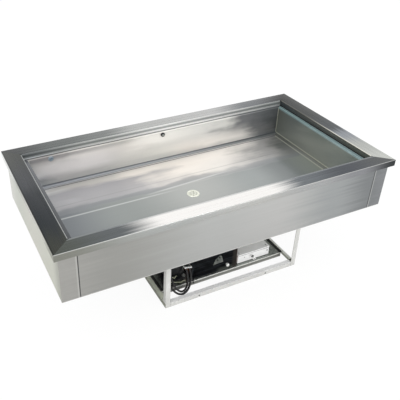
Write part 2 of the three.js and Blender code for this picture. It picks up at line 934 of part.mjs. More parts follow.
addPart('compressor_shell', join(
  shell,
  footPlate,
  suctionStub.translate(suctionX, compressorY, 0),
  dischargeStub.translate(compressorX, dischargeY, 0),
), blackSteel);

const terminalFace = compressorY + shellRadiusY;
addPart('terminal_cover', cut(
  block(
    compressorX - terminalX / 2, compressorX + terminalX / 2,
    terminalFace - terminalY / 2, terminalFace + terminalY,
    terminalUnder, terminalUnder + terminalHeight,
  ),
  turned(
    [[0, -overrun], [shellRadiusY + fitGap, -overrun],
      [shellRadiusY + fitGap, shellHeight + overrun], [0, shellHeight + overrun]],
    roundSides,
  ).scale((shellRadiusX + fitGap) / (shellRadiusY + fitGap), 1, 1)
    .translate(compressorX, compressorY, plateTop),
), blackPlastic);

// Condenser with its end plates
const condenserFront = deckFront + condenserSetback;
const condenserBack = condenserFront + condenserDepth;
const condenserTop = standing + condenserHeight;
const rowPitch = condenserHeight / tubeRows;
const finOutline = [];
for (let row = 0; row < tubeRows; row += 1) {
  const z = row * rowPitch;
  finOutline.push([0, z + rowPitch * 0.3], [0, z + rowPitch * 0.7], [tubeGroove, z + rowPitch]);
}
const finPoints = [[0, 0], ...finOutline.slice(0, -1), [0, condenserHeight]];
finPoints.push([condenserDepth, condenserHeight], [condenserDepth, 0]);
const core = extruded(outline(finPoints), condenserLength - endPlateThick);
core.rotateX(Math.PI / 2).rotateZ(Math.PI / 2);
core.translate(condenserLeft + endPlateThick / 2, condenserFront, standing);

function endPlate(x) {
  return block(
    x, x + endPlateThick, condenserFront - endPlateRim, condenserBack, standing, condenserTop,
  );
}

const outflowX = condenserRight - linePortInset;
const inflowX = condenserLeft + linePortInset;
const linePortY = condenserFront + condenserDepth / 2;

function condenserStub(x) {
  const stub = rod(linePortRadius, condenserTop - overrun, condenserTop + linePortHeight, smallSides);
  return stub.translate(x, linePortY, 0);
}

addPart('condenser', join(
  core,
  endPlate(condenserLeft),
  endPlate(condenserRight - endPlateThick),
  condenserStub(inflowX),
  condenserStub(outflowX),
), finBlack);

// Fan shroud, fan, motor and its bracket
const shroudFront = condenserBack + fitGap;
const shroudBack = shroudFront + shroudDepth;
const fanX = (condenserLeft + condenserRight) / 2;
const fanZ = standing + condenserHeight / 2;
const shroudBox = block(
  condenserLeft, condenserRight, shroudFront, shroudBack, standing, condenserTop,
);
const shroudHollow = block(
  condenserLeft + shroudSheet, condenserRight - shroudSheet,
  shroudFront - overrun, shroudBack - shroudSheet,
  standing + shroudSheet, condenserTop - shroudSheet,
);
const shroudHole = rod(fanRadius + fanTipGap, -overrun, shroudDepth, fineSides);
shroudHole.rotateX(-Math.PI / 2).translate(fanX, shroudBack - shroudDepth / 2, fanZ);
addPart('fan_shroud', cut(shroudBox, shroudHollow, shroudHole), blackSteel);

const hubFront = shroudFront + fanStandoff;
const hubBack = hubFront + hubLength;
const hub = rod(hubRadius, 0, hubLength);
const shaft = rod(shaftRadius, hubLength - overrun, hubLength + shaftLength, smallSides);
const bladeLength = fanRadius - hubRadius + bladeInset;

function blade(turn) {
  const shape = new THREE.BoxGeometry(bladeLength, bladeChord, bladeThick, 3, 3, 1);
  shape.translate(hubRadius - bladeInset + bladeLength / 2, 0, 0);
  const places = shape.attributes.position;
  for (let i = 0; i < places.count; i += 1) {
    const out = (places.getX(i) - hubRadius) / bladeLength;
    const across = places.getY(i) * (bladeRootShare + (1 - bladeRootShare) * Math.max(out, 0));
    const pitch = THREE.MathUtils.degToRad(bladePitch * (1 + bladeTwistShare / 2 - bladeTwistShare * out));
    const side = across * Math.cos(pitch) - places.getZ(i) * Math.sin(pitch);
    const along = across * Math.sin(pitch) + places.getZ(i) * Math.cos(pitch);
    places.setXYZ(i, places.getX(i), side, along);
  }
  return shape.rotateZ(turn).translate(0, 0, hubLength / 2);
}

const wideReach = rod(fanRadius, -hubLength, 2 * hubLength, fineSides);
const bladeSet = [];
for (let i = 0; i < fanBlades; i += 1) {
  bladeSet.push(blade((2 * Math.PI * i) / fanBlades));
}
const rotor = toSolid(join(hub, shaft, ...bladeSet)).intersect(toSolid(
  join(wideReach, rod(shaftRadius * 2, 0, hubLength + shaftLength + overrun)),
));
const fan = toGeometry(rotor).rotateX(-Math.PI / 2).translate(fanX, hubFront, fanZ);
addPart('fan_blades', fan, blackPlastic);

const motorFront = hubBack + shaftLength + fitGap;
const motorBack = motorFront + motorLength;
const motor = closedTurned([
  [0, 0],
  [motorRadius * 0.5, 0],
  [motorRadius * 0.6, motorLength * 0.12],
  [motorRadius, motorLength * 0.2],
  [motorRadius, motorLength * 0.85],
  [motorRadius * 0.7, motorLength],
  [0, motorLength],
], roundSides);
motor.rotateX(-Math.PI / 2).translate(fanX, motorFront, fanZ);
addPart('fan_motor', motor, blackSteel);

const bracketFace = motorBack + fitGap;
addPart('motor_bracket', join(
  block(
    fanX - bracketWidth / 2, fanX + bracketWidth / 2,
    bracketFace, bracketFace + bracketThick, standing, fanZ + motorRadius,
  ),
  block(
    fanX - bracketWidth / 2, fanX + bracketWidth / 2,
    bracketFace + bracketThick / 2, bracketFace + bracketFoot, standing, standing + bracketThick,
  ),
), galvanised);

// Filter drier and the pipes of the cooling circuit
const drierLength = condenserHeight * drierLengthShare;
const drierBottom = standing + condenserHeight * drierRiseShare;
const drierTop = drierBottom + drierLength;
const drierY = condenserBack + drierRoom;
const riserHeight = standing + condenserHeight * riserRiseShare;
const drier = turned([
  [0, 0],
  [linePipe / 2, 0],
  [linePipe / 2, drierNeck / 3],
  [drierRadius, drierNeck],
  [drierRadius, drierLength - drierNeck],
  [linePipe / 2, drierLength - drierNeck / 3],
  [linePipe / 2, drierLength],
  [0, drierLength],
], roundSides);
addPart('filter_drier', drier.translate(drierX, drierY, drierBottom), copper);

const linePortTop = condenserTop + linePortHeight + fitGap;
const dischargeHeight = condenserTop + dischargeRise;
const liquidHeight = condenserTop + liquidRise;
const suctionHeight = (stubTop + coolingEnd) / 2;
addPart('discharge_pipe', pipe([
  [compressorX, dischargeY, stubTop + fitGap],
  [compressorX, dischargeY, dischargeHeight],
  [inflowX, dischargeY, dischargeHeight],
  [inflowX, linePortY, dischargeHeight],
  [inflowX, linePortY, linePortTop],
], linePipe, linePipe), copper);
addPart('liquid_pipe', pipe([
  [outflowX, linePortY, linePortTop],
  [outflowX, linePortY, liquidHeight],
  [drierX, drierY, liquidHeight],
  [drierX, drierY, drierTop + fitGap],
], linePipe, linePipe), copper);
addPart('liquid_riser', pipe([
  [drierX, drierY, drierBottom - fitGap],
  [drierX, drierY, riserHeight],
  [coolingFeedX, drierY, riserHeight],
  [coolingFeedX, runY[0], riserHeight],
  [coolingFeedX, runY[0], coolingEnd - fitGap],
], linePipe), copper);
addPart('suction_pipe', pipe([
  [coolingReturnX, runY[4], coolingEnd - fitGap],
  [coolingReturnX, runY[4], suctionHeight],
  [suctionX, compressorY, suctionHeight],
  [suctionX, compressorY, stubTop + fitGap],
], suctionPipe), copper);

// Control box with its lid
const boxLeft = condenserRight + boxGap;
const boxRight = deckRight - deckLength * boxEndShare;
const boxFront = deckFront + boxSetback;
const boxBack = boxFront + boxDepth;
const boxTop = standing + boxHeight;
const switchY = boxFront + switchInset;
const knobY = boxFront + knobInset;
const panelZ = standing + boxHeight / 2;
const lugLeft = boxLeft + (boxRight - boxLeft) * lugShare;
const boxShell = cut(
  block(boxLeft, boxRight, boxFront, boxBack, standing, boxTop),
  block(
    boxLeft + boxSheet, boxRight - boxSheet, boxFront + boxSheet, boxBack - boxSheet,
    standing + boxSheet, boxTop + overrun,
  ),
  rod(boxHoleRadius, -overrun - boxSheet, overrun, smallSides).rotateX(Math.PI / 2)
    .translate(boxRight - boxHoleInset, boxFront, standing + boxHoleHeight),
  block(
    boxRight - boxSheet - overrun, boxRight + overrun,
    switchY - bezelDepth / 2 - fitGap, switchY + bezelDepth / 2 + fitGap,
    panelZ - bezelHeight / 2 - fitGap, panelZ + bezelHeight / 2 + fitGap,
  ),
  rod(knobShaft + fitGap, -boxSheet - overrun, overrun, smallSides).rotateY(Math.PI / 2)
    .translate(boxRight, knobY, panelZ),
);
const lug = block(
  lugLeft, lugLeft + lugWidth, boxFront - lugReach, boxFront + boxSheet / 2,
  standing, standing + lugThick,
);
addPart('control_box', join(boxShell, lug), whitePaint);

const lidUnder = boxTop + fitGap;
addPart('control_box_lid', join(
  block(
    boxLeft - lidLip, boxRight, boxFront - lidLip, boxBack + lidLip,
    lidUnder, lidUnder + lidThick,
  ),
  block(
    boxLeft + boxSheet + fitGap, boxRight - boxSheet - fitGap,
    boxFront + boxSheet + fitGap, boxBack - boxSheet - fitGap,
    lidUnder - lidThick / 2, lidUnder + lidThick / 2,
  ),
), whitePaint);

// Rocker switch, pivoted across its bezel
const bezelX = boxRight + fitGap;
const pivotX = bezelX + bezelFlange - rockerRadius * 0.6;
const bezelSolid = join(
  block(
    bezelX, bezelX + bezelFlange,
    switchY - bezelDepth / 2 - bezelFlange, switchY + bezelDepth / 2 + bezelFlange,
    panelZ - bezelHeight / 2 - bezelFlange, panelZ + bezelHeight / 2 + bezelFlange,
  ),
  block(
    bezelX - bezelBody, bezelX + bezelFlange / 2,
    switchY - bezelDepth / 2, switchY + bezelDepth / 2,
    panelZ - bezelHeight / 2, panelZ + bezelHeight / 2,
  ),
);
const rockerHalf = bezelDepth / 2 - bezelWall - rockerGap;
const bezelPocket = rod(
  rockerRadius + rockerGap, -rockerHalf - rockerGap, rockerHalf + rockerGap, fineSides,
);
bezelPocket.rotateX(Math.PI / 2).translate(pivotX, switchY, panelZ);
addPart('switch_bezel', cut(bezelSolid, bezelPocket), blackPlastic);

// Its back is round about the pivot, so it clears the pocket as it rocks
const rockerDrum = rod(rockerRadius, -rockerHalf, rockerHalf, fineSides).rotateX(Math.PI / 2);
const faceReach = rockerRadius * 0.86;

function rockerCut(side) {
  const shape = outline([
    [faceReach - rockerDish, 0],
    [faceReach, side * rockerRadius],
    [faceReach + rockerRadius, side * (rockerRadius + overrun)],
    [faceReach + rockerRadius, 0],
  ]);
  const tool = extruded(shape, 2 * (rockerHalf + overrun));
  return tool.translate(0, 0, -rockerHalf - overrun).rotateX(Math.PI / 2);
}

const rocker = cut(rockerDrum, rockerCut(1), rockerCut(-1));
addPart('switch_rocker', rocker.translate(pivotX, switchY, panelZ), blackPlastic);

// Thermostat knob on its shaft, with grip flutes and a flat pointer bar
const knobBody = turned([
  [0, 0],
  [knobRadius, 0],
  [knobRadius, knobLength * 0.35],
  [knobRadius * 0.82, knobLength * 0.5],
  [knobRadius * 0.78, knobLength * 0.85],
  [0, knobLength * 0.85],
], roundSides);
const pointer = block(
  -knobGrip, knobGrip, -knobRadius * 0.7, knobRadius * 0.7, knobLength / 2, knobLength,
);
const knobSpindle = rod(knobShaft, -knobShaftLength, overrun, smallSides);
const knob = join(knobBody, pointer, knobSpindle).rotateY(Math.PI / 2);
knob.translate(boxRight + knobStandoff, knobY, panelZ);
addPart('thermostat_knob', knob, blackPlastic);

// Valve plate and a capped service port on the condenser face
const faceY = condenserFront - fitGap;
const plateShares = [[0, 0], [1, 0.08], [0.8, 0.9], [0.62, 1], [0.2, 0.6]];
const valveShape = outline(plateShares.map(([along, up]) => {
  return [valvePlateLength * along, valvePlateHeight * up];
}));
const plateHoleShares = [[0.4, 0.5], [0.6, 0.8]];
for (const [along, up] of plateHoleShares) {
  const hole = new THREE.Path();
  const x = valvePlateLength * along;
  const y = valvePlateHeight * up;
  hole.absarc(x, y, valvePlateHole, 0, Math.PI * 2, true);
  valveShape.holes.push(hole);
}
const valvePlate = extruded(valveShape, valvePlateThick, smallSides);
faceFront(valvePlate);
valvePlate.translate(condenserLeft + valvePlateX, faceY, standing + valvePlateZ);
addPart('valve_plate', valvePlate, galvanised);

const cap = turned([
  [0, 0],
  [capRadius * 0.7, 0],
  [capRadius * 0.7, capLength * 0.3],
  [capRadius, capLength * 0.4],
  [capRadius, capLength * 0.8],
  [capRadius * 0.6, capLength],
  [0, capLength],
], smallSides);
cap.rotateX(Math.PI / 2).translate(condenserLeft + capX, faceY, standing + capZ);
addPart('service_cap', cap, whitePlastic);

// The hank: one unbroken tube. It runs round the outer front loop, steps in to the inner
// front loop, back to the inner back loop and out to the outer back loop. The three
// changes follow each other just past the top, so each moves into a place that is free.
const hankZ = casingUnder - hankDrop;
const hankY = frameFront + hankSetback;
const tilt = THREE.MathUtils.degToRad(hankTilt);
const frontLayer = hankY - hankLayer / 2;

function hankPlace(right, up, y) {
  const x = hankX + right * Math.cos(tilt) + up * Math.sin(tilt);
  const z = hankZ - right * Math.sin(tilt) + up * Math.cos(tilt);
  return new THREE.Vector3(x, y, z);
}

function changed(turn, from) {
  return THREE.MathUtils.smoothstep(turn, from, from + changeTurns);
}

function hankPoint(turn) {
  const inset = hankStep * (changed(turn, inwardFrom) - changed(turn, outwardFrom));
  const back = changed(turn, backwardFrom);
  const angle = turn * 2 * Math.PI;
  const right = (hankHalfWidth - inset) * Math.sin(angle) + back * hankBackRight;
  const up = (hankHalfHeight - inset) * Math.cos(angle) - back * hankBackDrop;
  return hankPlace(right, up, frontLayer + back * hankLayer);
}

const hankSteps = Math.round((hankLast - hankFirst) * loopSteps);
const hankPoints = [];
for (let step = 0; step <= hankSteps; step += 1) {
  hankPoints.push(hankPoint(hankFirst + ((hankLast - hankFirst) * step) / hankSteps));
}

function straightEnd(points, length) {
  const [end, next] = points;
  const out = end.clone().sub(next).normalize();
  return end.clone().addScaledVector(out, length);
}

const hankStart = straightEnd(hankPoints, cordDiameter);
const hankEnd = straightEnd([...hankPoints].reverse(), cordDiameter);
const hankRoute = [hankStart, ...hankPoints, hankEnd];
addPart('cord_hank', tube(hankRoute, cordDiameter, hankSides), cordPlastic);

// Least gap of the hank to itself, between points more than a third of a turn apart
function leastGap() {
  const fine = [];
  const perTurn = loopSteps * 4;
  for (let i = hankFirst * perTurn; i <= hankLast * perTurn; i += 1) {
    fine.push(hankPoint(i / perTurn));
  }
  let least = Infinity;
  for (let i = 0; i < fine.length; i += 1) {
    for (let j = i + Math.round(perTurn / 3); j < fine.length; j += 1) {
      least = Math.min(least, fine[i].distanceTo(fine[j]) - cordDiameter);
    }
  }
  return least;
}

function routeLength(points) {
  let length = 0;
  for (let i = 1; i < points.length; i += 1) {
    length += points[i].distanceTo(points[i - 1]);
  }
  return length;
}

// Free stretch from the gland to the hank
const glandTop = casingUnder - fitGap;
const glandEnd = glandTop - glandNutHeight - reliefLength;
const glandY = frameFront + glandSetback;
const gland = turned([
  [0, glandEnd],
  [glandTip, glandEnd],
  [glandNut * 0.7, glandTop - glandNutHeight],
  [glandNut, glandTop - glandNutHeight * 0.85],
  [glandNut, glandTop],
  [0, glandTop],
], smallSides);
addPart('cord_gland', gland.translate(glandX, glandY, 0), blackPlastic);

function cordPath(from, fromWay, to, toWay, pull, steps) {
  const curve = new THREE.CubicBezierCurve3(
    from,
    from.clone().addScaledVector(fromWay, pull),
    to.clone().addScaledVector(toWay, -pull),
    to,
  );
  return curve.getPoints(steps);
}

const glandExit = new THREE.Vector3(glandX, glandY, glandEnd - fitGap);
const down = new THREE.Vector3(0, 0, -1);
const hankStartWay = hankPoints[0].clone().sub(hankStart).normalize();
const feedEnd = hankStart.clone().addScaledVector(hankStartWay, -fitGap);
const feedStraight = glandExit.clone().addScaledVector(down, cordDiameter);
const feedLast = feedEnd.clone().addScaledVector(hankStartWay, -cordDiameter / 2);
const feedPull = feedStraight.distanceTo(feedLast) / 3;
const feedRoute = [
  glandExit,
  ...cordPath(feedStraight, down, feedLast, hankStartWay, feedPull, 8),
  feedEnd,
];
addPart('power_cord', tube(feedRoute, cordDiameter, cordSides), cordPlastic);

// Free stretch from the hank to the plug, which lies on the condenser
const hankEndWay = hankEnd.clone().sub(hankPoints[hankPoints.length - 1]).normalize();
const plugZ = condenserTop + fitGap + plugHeight / 2;
const plugY = linePortY;
const leadStart = hankEnd.clone().addScaledVector(hankEndWay, fitGap);
const plugWay = new THREE.Vector3(1, 0, 0);
const leadEnd = new THREE.Vector3(plugX - plugRelief - fitGap, plugY, plugZ);
const leadFirst = leadStart.clone().addScaledVector(hankEndWay, cordDiameter / 2);
const leadLast = leadEnd.clone().addScaledVector(plugWay, -cordDiameter);
const leadPull = leadFirst.distanceTo(leadLast) / 2.6;
const leadRoute = [
  leadStart,
  ...cordPath(leadFirst, hankEndWay, leadLast, plugWay, leadPull, 12),
  leadEnd,
];
addPart('plug_lead', tube(leadRoute, cordDiameter, cordSides), cordPlastic);

const plugShape = roundedOutline(plugWidth / 2, plugHeight / 2, plugCorner);
const plugBlock = extruded(plugShape, plugBody);
const plugCone = turned([
  [0, -plugRelief],
  [plugReliefTip, -plugRelief],
  [plugReliefRoot, 0],
  [plugReliefRoot, overrun],
  [0, overrun],
], smallSides);
const pins = [-1, 1].map((side) => {
  const pin = rod(pinRadius, plugBody - overrun, plugBody + pinLength, smallSides);
  return pin.translate((side * pinPitch) / 2, 0, 0);
});
const plug = join(plugBlock, plugCone, ...pins);
plug.rotateX(Math.PI / 2).rotateZ(Math.PI / 2).translate(plugX, plugY, plugZ);
addPart('cord_plug', plug, blackPlastic);

// Tie round the right-hand strands, with its head at the left and the tail to the right.
// The strands lean against it, so the band spans them on the slant.
const lean = THREE.MathUtils.degToRad(tieTilt);
const tieMiddle = new THREE.Vector3(tieX, hankY, hankZ + tieRise);
const tieAlong = new THREE.Vector3(Math.cos(lean), 0, -Math.sin(lean));
const tieUp = new THREE.Vector3(Math.sin(lean), 0, Math.cos(lean));

// Where the strand of one lap passes the tie, measured along the band
function passesTie(lap) {
  let above = lap + passFrom;
  let below = lap + passTo;
  for (let halving = 0; halving < passHalvings; halving += 1) {
    const turn = (above + below) / 2;
    if (hankPoint(turn).sub(tieMiddle).dot(tieUp) > 0) {
      above = turn;
    } else {
      below = turn;
    }
  }
  return hankPoint(above).sub(tieMiddle).dot(tieAlong);
}

const strands = [0, 1, 2, 3].map(passesTie);
const slant = lean - tilt;
const tieSpare = (cordDiameter / 2 + fitGap) / Math.cos(slant) + (tieHeight / 2) * Math.tan(slant)
  + fitGap;
const tieLeft = tieSpare - Math.min(...strands);
const tieRight = tieSpare + Math.max(...strands);
const tieDepth = (hankLayer + cordDiameter) / 2 + fitGap * 2;
const tieOuter = block(
  -tieLeft - tieThick, tieRight + tieThick, -tieDepth - tieThick, tieDepth + tieThick,
  -tieHeight / 2, tieHeight / 2,
);
const tieInner = block(
  -tieLeft, tieRight, -tieDepth, tieDepth, -tieHeight / 2 - overrun, tieHeight / 2 + overrun,
);
const headY = -tieDepth - tieThick;
const tieHead = block(
  -tieLeft, tieHeadSize - tieLeft, headY - tieHeadSize * 0.7, headY + tieThick / 2,
  -tieHeadSize / 2, tieHeadSize / 2,
);
const tailY = headY - tieHeadSize * 0.35;
const tieTailStrip = block(
  tieHeadSize / 2 - tieLeft, tieHeadSize - tieLeft + tieTail, tailY - tieThick, tailY, -tieHeight / 2, tieHeight / 2,
);
const tie = join(cut(tieOuter, tieInner), tieHead, tieTailStrip);
tie.rotateY(lean).translate(tieX, hankY, hankZ + tieRise);
addPart('cord_tie', tie, whitePlastic);

// Hook under the casing that the hank hangs on
const innerLean = ((hankHalfWidth - hankStep) / (hankHalfHeight - hankStep)) * Math.tan(-tilt);
const innerTop = hankPoint(Math.floor(backwardFrom) + Math.atan(innerLean) / (2 * Math.PI));
const hookTop = innerTop.z - cordDiameter / 2 - hookSeat;
const hookZ = hookTop - hookRadius;
const hookX = innerTop.x;
const hookFront = frontLayer - cordDiameter / 2 - hookClear;
const hookBack = hankY + hankLayer / 2 + cordDiameter / 2 + hookRadius + hookClear;
const hookRod = pipe([
  [hookX, hookBack, hookZ + hookTip],
  [hookX, hookBack, hookZ],
  [hookX, hookFront, hookZ],
  [hookX, hookFront, glandTop - hookFootThick / 2],
], hookRadius * 2, hookBend);
const hookPad = rod(hookFoot, glandTop - hookFootThick, glandTop, smallSides);
addPart('cord_hook', join(hookRod, hookPad.translate(hookX, hookFront, 0)), blackSteel);

const cordLength = [feedRoute, hankRoute, leadRoute].map(routeLength).reduce((a, b) => a + b);
console.log(`hank least gap to itself ${leastGap().toFixed(2)} mm`);
console.log(`cord length ${cordLength.toFixed(0)} mm`);

export default group;
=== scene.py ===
# %% [markdown]
# # A refrigerated drop in food well
#
# The real object is an insulated steel tank with a wide flat rim, which hangs in the
# cut-out of a worktop. Under it a welded frame carries the machine that cools it. The
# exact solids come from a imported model. This lesson dresses them: it gives each one a
# finish, and rebuilds with Blender's own tools the pieces that need finer forms.

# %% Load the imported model
import bpy
import bmesh
import json
import math
from mathutils import Matrix, Vector

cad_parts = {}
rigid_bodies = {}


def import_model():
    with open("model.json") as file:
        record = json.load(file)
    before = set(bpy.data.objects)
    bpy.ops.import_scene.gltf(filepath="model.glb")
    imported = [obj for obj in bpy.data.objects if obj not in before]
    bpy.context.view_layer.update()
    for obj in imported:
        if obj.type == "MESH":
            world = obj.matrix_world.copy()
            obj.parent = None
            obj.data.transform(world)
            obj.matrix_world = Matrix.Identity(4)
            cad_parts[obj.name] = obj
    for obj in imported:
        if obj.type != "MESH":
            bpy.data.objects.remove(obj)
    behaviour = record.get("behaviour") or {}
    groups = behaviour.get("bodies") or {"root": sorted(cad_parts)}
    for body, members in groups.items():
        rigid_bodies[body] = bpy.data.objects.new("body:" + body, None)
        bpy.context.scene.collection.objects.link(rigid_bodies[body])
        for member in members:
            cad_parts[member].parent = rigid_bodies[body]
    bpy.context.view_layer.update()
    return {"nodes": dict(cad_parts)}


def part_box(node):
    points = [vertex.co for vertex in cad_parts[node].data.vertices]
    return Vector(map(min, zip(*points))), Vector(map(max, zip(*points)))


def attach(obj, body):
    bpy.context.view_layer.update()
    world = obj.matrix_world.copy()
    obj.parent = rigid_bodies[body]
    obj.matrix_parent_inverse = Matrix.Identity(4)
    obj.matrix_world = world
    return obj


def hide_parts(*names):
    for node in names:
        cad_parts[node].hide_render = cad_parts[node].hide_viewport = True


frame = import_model()
cad = frame["nodes"]

# %% [markdown]
# ## The camera
#
# The photograph was taken from the front left, a little above eye level for a worktop.
# The place and the three directions below were fitted to the corners of the real rim and
# frame. A camera can be aimed with a tracking constraint, but then its roll is lost, so
# the matrix is written out. The small shift gives the photograph's framing.

# %% Camera
eye = Vector((-0.96021, -1.62925, 1.56134))
look_right = Vector((0.905816, -0.423667, 0.00177))
look_up = Vector((0.222763, 0.479821, 0.848616))
look_back = look_right.cross(look_up)
camera_data = bpy.data.cameras.new("photo_camera")
camera_data.lens = 50.3894
camera_data.sensor_width = 36
camera_data.shift_x = 0.125
camera_data.shift_y = -0.05
camera = bpy.data.objects.new("photo_camera", camera_data)
bpy.context.scene.collection.objects.link(camera)
directions = Matrix((look_right, look_up, look_back)).transposed().to_4x4()
camera.matrix_world = Matrix.Translation(eye) @ directions
bpy.context.scene.camera = camera
bpy.context.scene.view_settings.view_transform = "Standard"
print("camera looks from", tuple(round(v, 3) for v in eye))

# %% [markdown]
# ## Working with Blender's own tools
#
# An operator acts on whatever is selected, and a newly loaded model is selected whole. So
# each piece is taken up by itself first. Faces and edges are then picked by their place or
# the way they face, as one would click them by hand.

# %% Picking up pieces
def put_down():
    for thing in bpy.context.view_layer.objects:
        thing.select_set(False)
    bpy.context.view_layer.objects.active = None


def take_up(piece):
    put_down()
    piece.select_set(True)
    bpy.context.view_layer.objects.active = piece


def open_up(piece, kind="FACE"):
    take_up(piece)
    bpy.ops.object.mode_set(mode="EDIT")
    bpy.ops.mesh.select_mode(type=kind)
    bpy.ops.mesh.select_all(action="DESELECT")


print("pieces can be picked up and opened")

# %% Picking faces and edges
def pick_all():
    bpy.ops.mesh.select_all(action="SELECT")


def pick_faces(piece, wanted):
    mesh = bmesh.from_edit_mesh(piece.data)
    for face in mesh.faces:
        face.select_set(bool(wanted(face.calc_center_median(), face.normal)))
    bmesh.update_edit_mesh(piece.data)


def pick_edges(piece, wanted):
    mesh = bmesh.from_edit_mesh(piece.data)
    for face in mesh.faces:
        face.select_set(False)
    for edge in mesh.edges:
        edge.select_set(bool(wanted(edge.verts[0].co, edge.verts[1].co)))
    bmesh.update_edit_mesh(piece.data)


def close_up():
    bpy.ops.object.mode_set(mode="OBJECT")


print("faces and edges can be picked")

# %% Blocks and rods
def named(name):
    piece = bpy.context.object
    piece.name = name
    piece.data.name = name
    return piece


def settle(piece):
    take_up(piece)
    bpy.ops.object.transform_apply(location=True, rotation=True, scale=True)
    return piece


def block(name, low, high):
    middle = [(a + b) / 2 for a, b in zip(low, high)]
    size = [b - a for a, b in zip(low, high)]
    put_down()
    bpy.ops.mesh.primitive_cube_add(size=1, location=middle, scale=size)
    return settle(named(name))


def rod(name, radius, start, end, sides=32):
    start, end = Vector(start), Vector(end)
    turn = (end - start).to_track_quat("Z", "Y").to_euler()
    put_down()
    bpy.ops.mesh.primitive_cylinder_add(radius=radius, depth=(end - start).length, vertices=sides,
                                        location=(start + end) / 2, rotation=turn)
    return settle(named(name))


print("blocks and rods ready")

# %% Rounding, joining and cutting
def modify(piece, kind, **settings):
    take_up(piece)
    modifier = piece.modifiers.new(kind.lower(), kind)
    for key, value in settings.items():
        setattr(modifier, key, value)
    bpy.ops.object.modifier_apply(modifier=modifier.name)
    return piece


def round_edges(piece, width, segments=2, angle=30):
    return modify(piece, "BEVEL", width=width, segments=segments, limit_method="ANGLE",
                  angle_limit=math.radians(angle))


def fuse(name, pieces):
    put_down()
    for piece in pieces:
        piece.select_set(True)
    bpy.context.view_layer.objects.active = pieces[0]
    if len(pieces) > 1:
        bpy.ops.object.join()
    return named(name)


def smooth(piece, angle=30):
    take_up(piece)
    bpy.ops.object.shade_smooth_by_angle(angle=math.radians(angle))
    return piece


def cut_out(piece, tool):
    modify(piece, "BOOLEAN", operation="DIFFERENCE", object=tool, solver="EXACT")
    bpy.data.objects.remove(tool)
    return piece


print("tools ready")

# %% [markdown]
# ## The supply cord
#
# The spare cord is made up into a hank, which hangs from a hook behind the left post. It
# is one run of cord: round the outer front loop, in to the inner front loop, back to the
# inner back loop and out to the outer back loop. The three changes follow each other just
# past the top, so each moves into a place that is free. The back loops hang a little lower
# and further right, which hides them behind the front ones when seen from the front left.

# %% Shape of the hank
cord_width = 0.008
hank_centre = Vector((-0.168, -0.2, 0.120))
hank_tilt = math.radians(-13.4)
half_width, half_height, loop_step = 0.0476, 0.109, 0.0142
back_right, back_drop, layer_step = 0.0023, 0.0094, 0.0088
first_turn, last_turn = 0.2, 3.9
inward_from, backward_from, outward_from, change = 1.12, 2.03, 2.90, 0.09


def changed(turn, start):
    """How far a change that starts at this turn has come, from 0 to 1"""
    share = min(max((turn - start) / change, 0), 1)
    return share * share * (3 - 2 * share)


def hank_point(turn):
    inset = loop_step * (changed(turn, inward_from) - changed(turn, outward_from))
    back = changed(turn, backward_from)
    angle = turn * 2 * math.pi
    right = (half_width - inset) * math.sin(angle) + back * back_right
    up = (half_height - inset) * math.cos(angle) - back * back_drop
    return hank_centre + Vector((right * math.cos(hank_tilt) + up * math.sin(hank_tilt),
                                 (back - 0.5) * layer_step,
                                 -right * math.sin(hank_tilt) + up * math.cos(hank_tilt)))


print("hank", round(2 * half_width, 3), "by", round(2 * half_height, 3), "m")

# %% Cord route
def sweep(start, start_way, end, end_way, pull, steps):
    """Points on one Bezier curve, its two ends left out"""
    a, b = start + start_way * pull, end - end_way * pull
    points = []
    for step in range(1, steps):
        t = step / steps
        points.append(start * (1 - t) ** 3 + a * 3 * t * (1 - t) ** 2
                      + b * 3 * t * t * (1 - t) + end * t ** 3)
    return points


steps = round((last_turn - first_turn) * 90)
hank = [hank_point(first_turn + (last_turn - first_turn) * i / steps) for i in range(steps + 1)]
coarse = 1 / 36
start_way = (hank[0] - hank_point(first_turn + coarse)).normalized()
end_way = (hank[-1] - hank_point(last_turn - coarse)).normalized()
hank_start = hank[0] + start_way * cord_width
hank_end = hank[-1] + end_way * cord_width

gland_low, gland_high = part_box("cord_gland")
cord_exit = Vector(((gland_low.x + gland_high.x) / 2, (gland_low.y + gland_high.y) / 2,
                    gland_low.z - 0.0003))
down = Vector((0, 0, -1))
feed_start = cord_exit + down * cord_width
feed_end = hank_start + start_way * (0.0003 + cord_width / 2)
feed = sweep(feed_start, down, feed_end, -start_way, (feed_end - feed_start).length / 3, 8)

plug_low, plug_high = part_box("cord_plug")
plug_y, plug_z = (plug_low.y + plug_high.y) / 2, (plug_low.z + plug_high.z) / 2
lead_start = hank_end + end_way * (0.0003 + cord_width / 2)
lead_end = Vector((plug_low.x - 0.0003, plug_y, plug_z))
along = Vector((1, 0, 0))
lead_last = lead_end - along * cord_width
lead = sweep(lead_start, end_way, lead_last, along, (lead_last - lead_start).length / 2.6, 12)

route = [cord_exit, feed_start, *feed, feed_end, hank_start, *hank, hank_end, lead_start, *lead,
         lead_last, lead_end]

# %% Cord as a curve with thickness
def curve_through(name, points, radius, sides=4):
    data = bpy.data.curves.new(name, "CURVE")
    data.dimensions = "3D"
    data.bevel_depth = radius
    data.bevel_resolution = sides
    data.use_fill_caps = True
    line = data.splines.new("POLY")
    line.points.add(len(points) - 1)
    for spot, point in zip(line.points, points):
        spot.co = (*point, 1)
    line.use_smooth = True
    curve = bpy.data.objects.new(name, data)
    bpy.context.scene.collection.objects.link(curve)
    return curve


cord = curve_through("supply_cord", route, cord_width / 2)
take_up(cord)
bpy.ops.object.convert(target="MESH")
cord = named("supply_cord")
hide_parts("power_cord", "cord_hank", "plug_lead")

# %% [markdown]
# ## Floor, backdrop and light
#
# The photograph has no visible floor, only white. The floor is a matt white sheet whose
# colour to the camera is mostly plain white, so that the object's shadow stays but is
# faint. The light is soft and even, from a white world and two large lamps, with a small
# low one in front that reaches in under the tank. The world has one background for the
# light and one for what the camera and glass see, so that either can be changed alone.

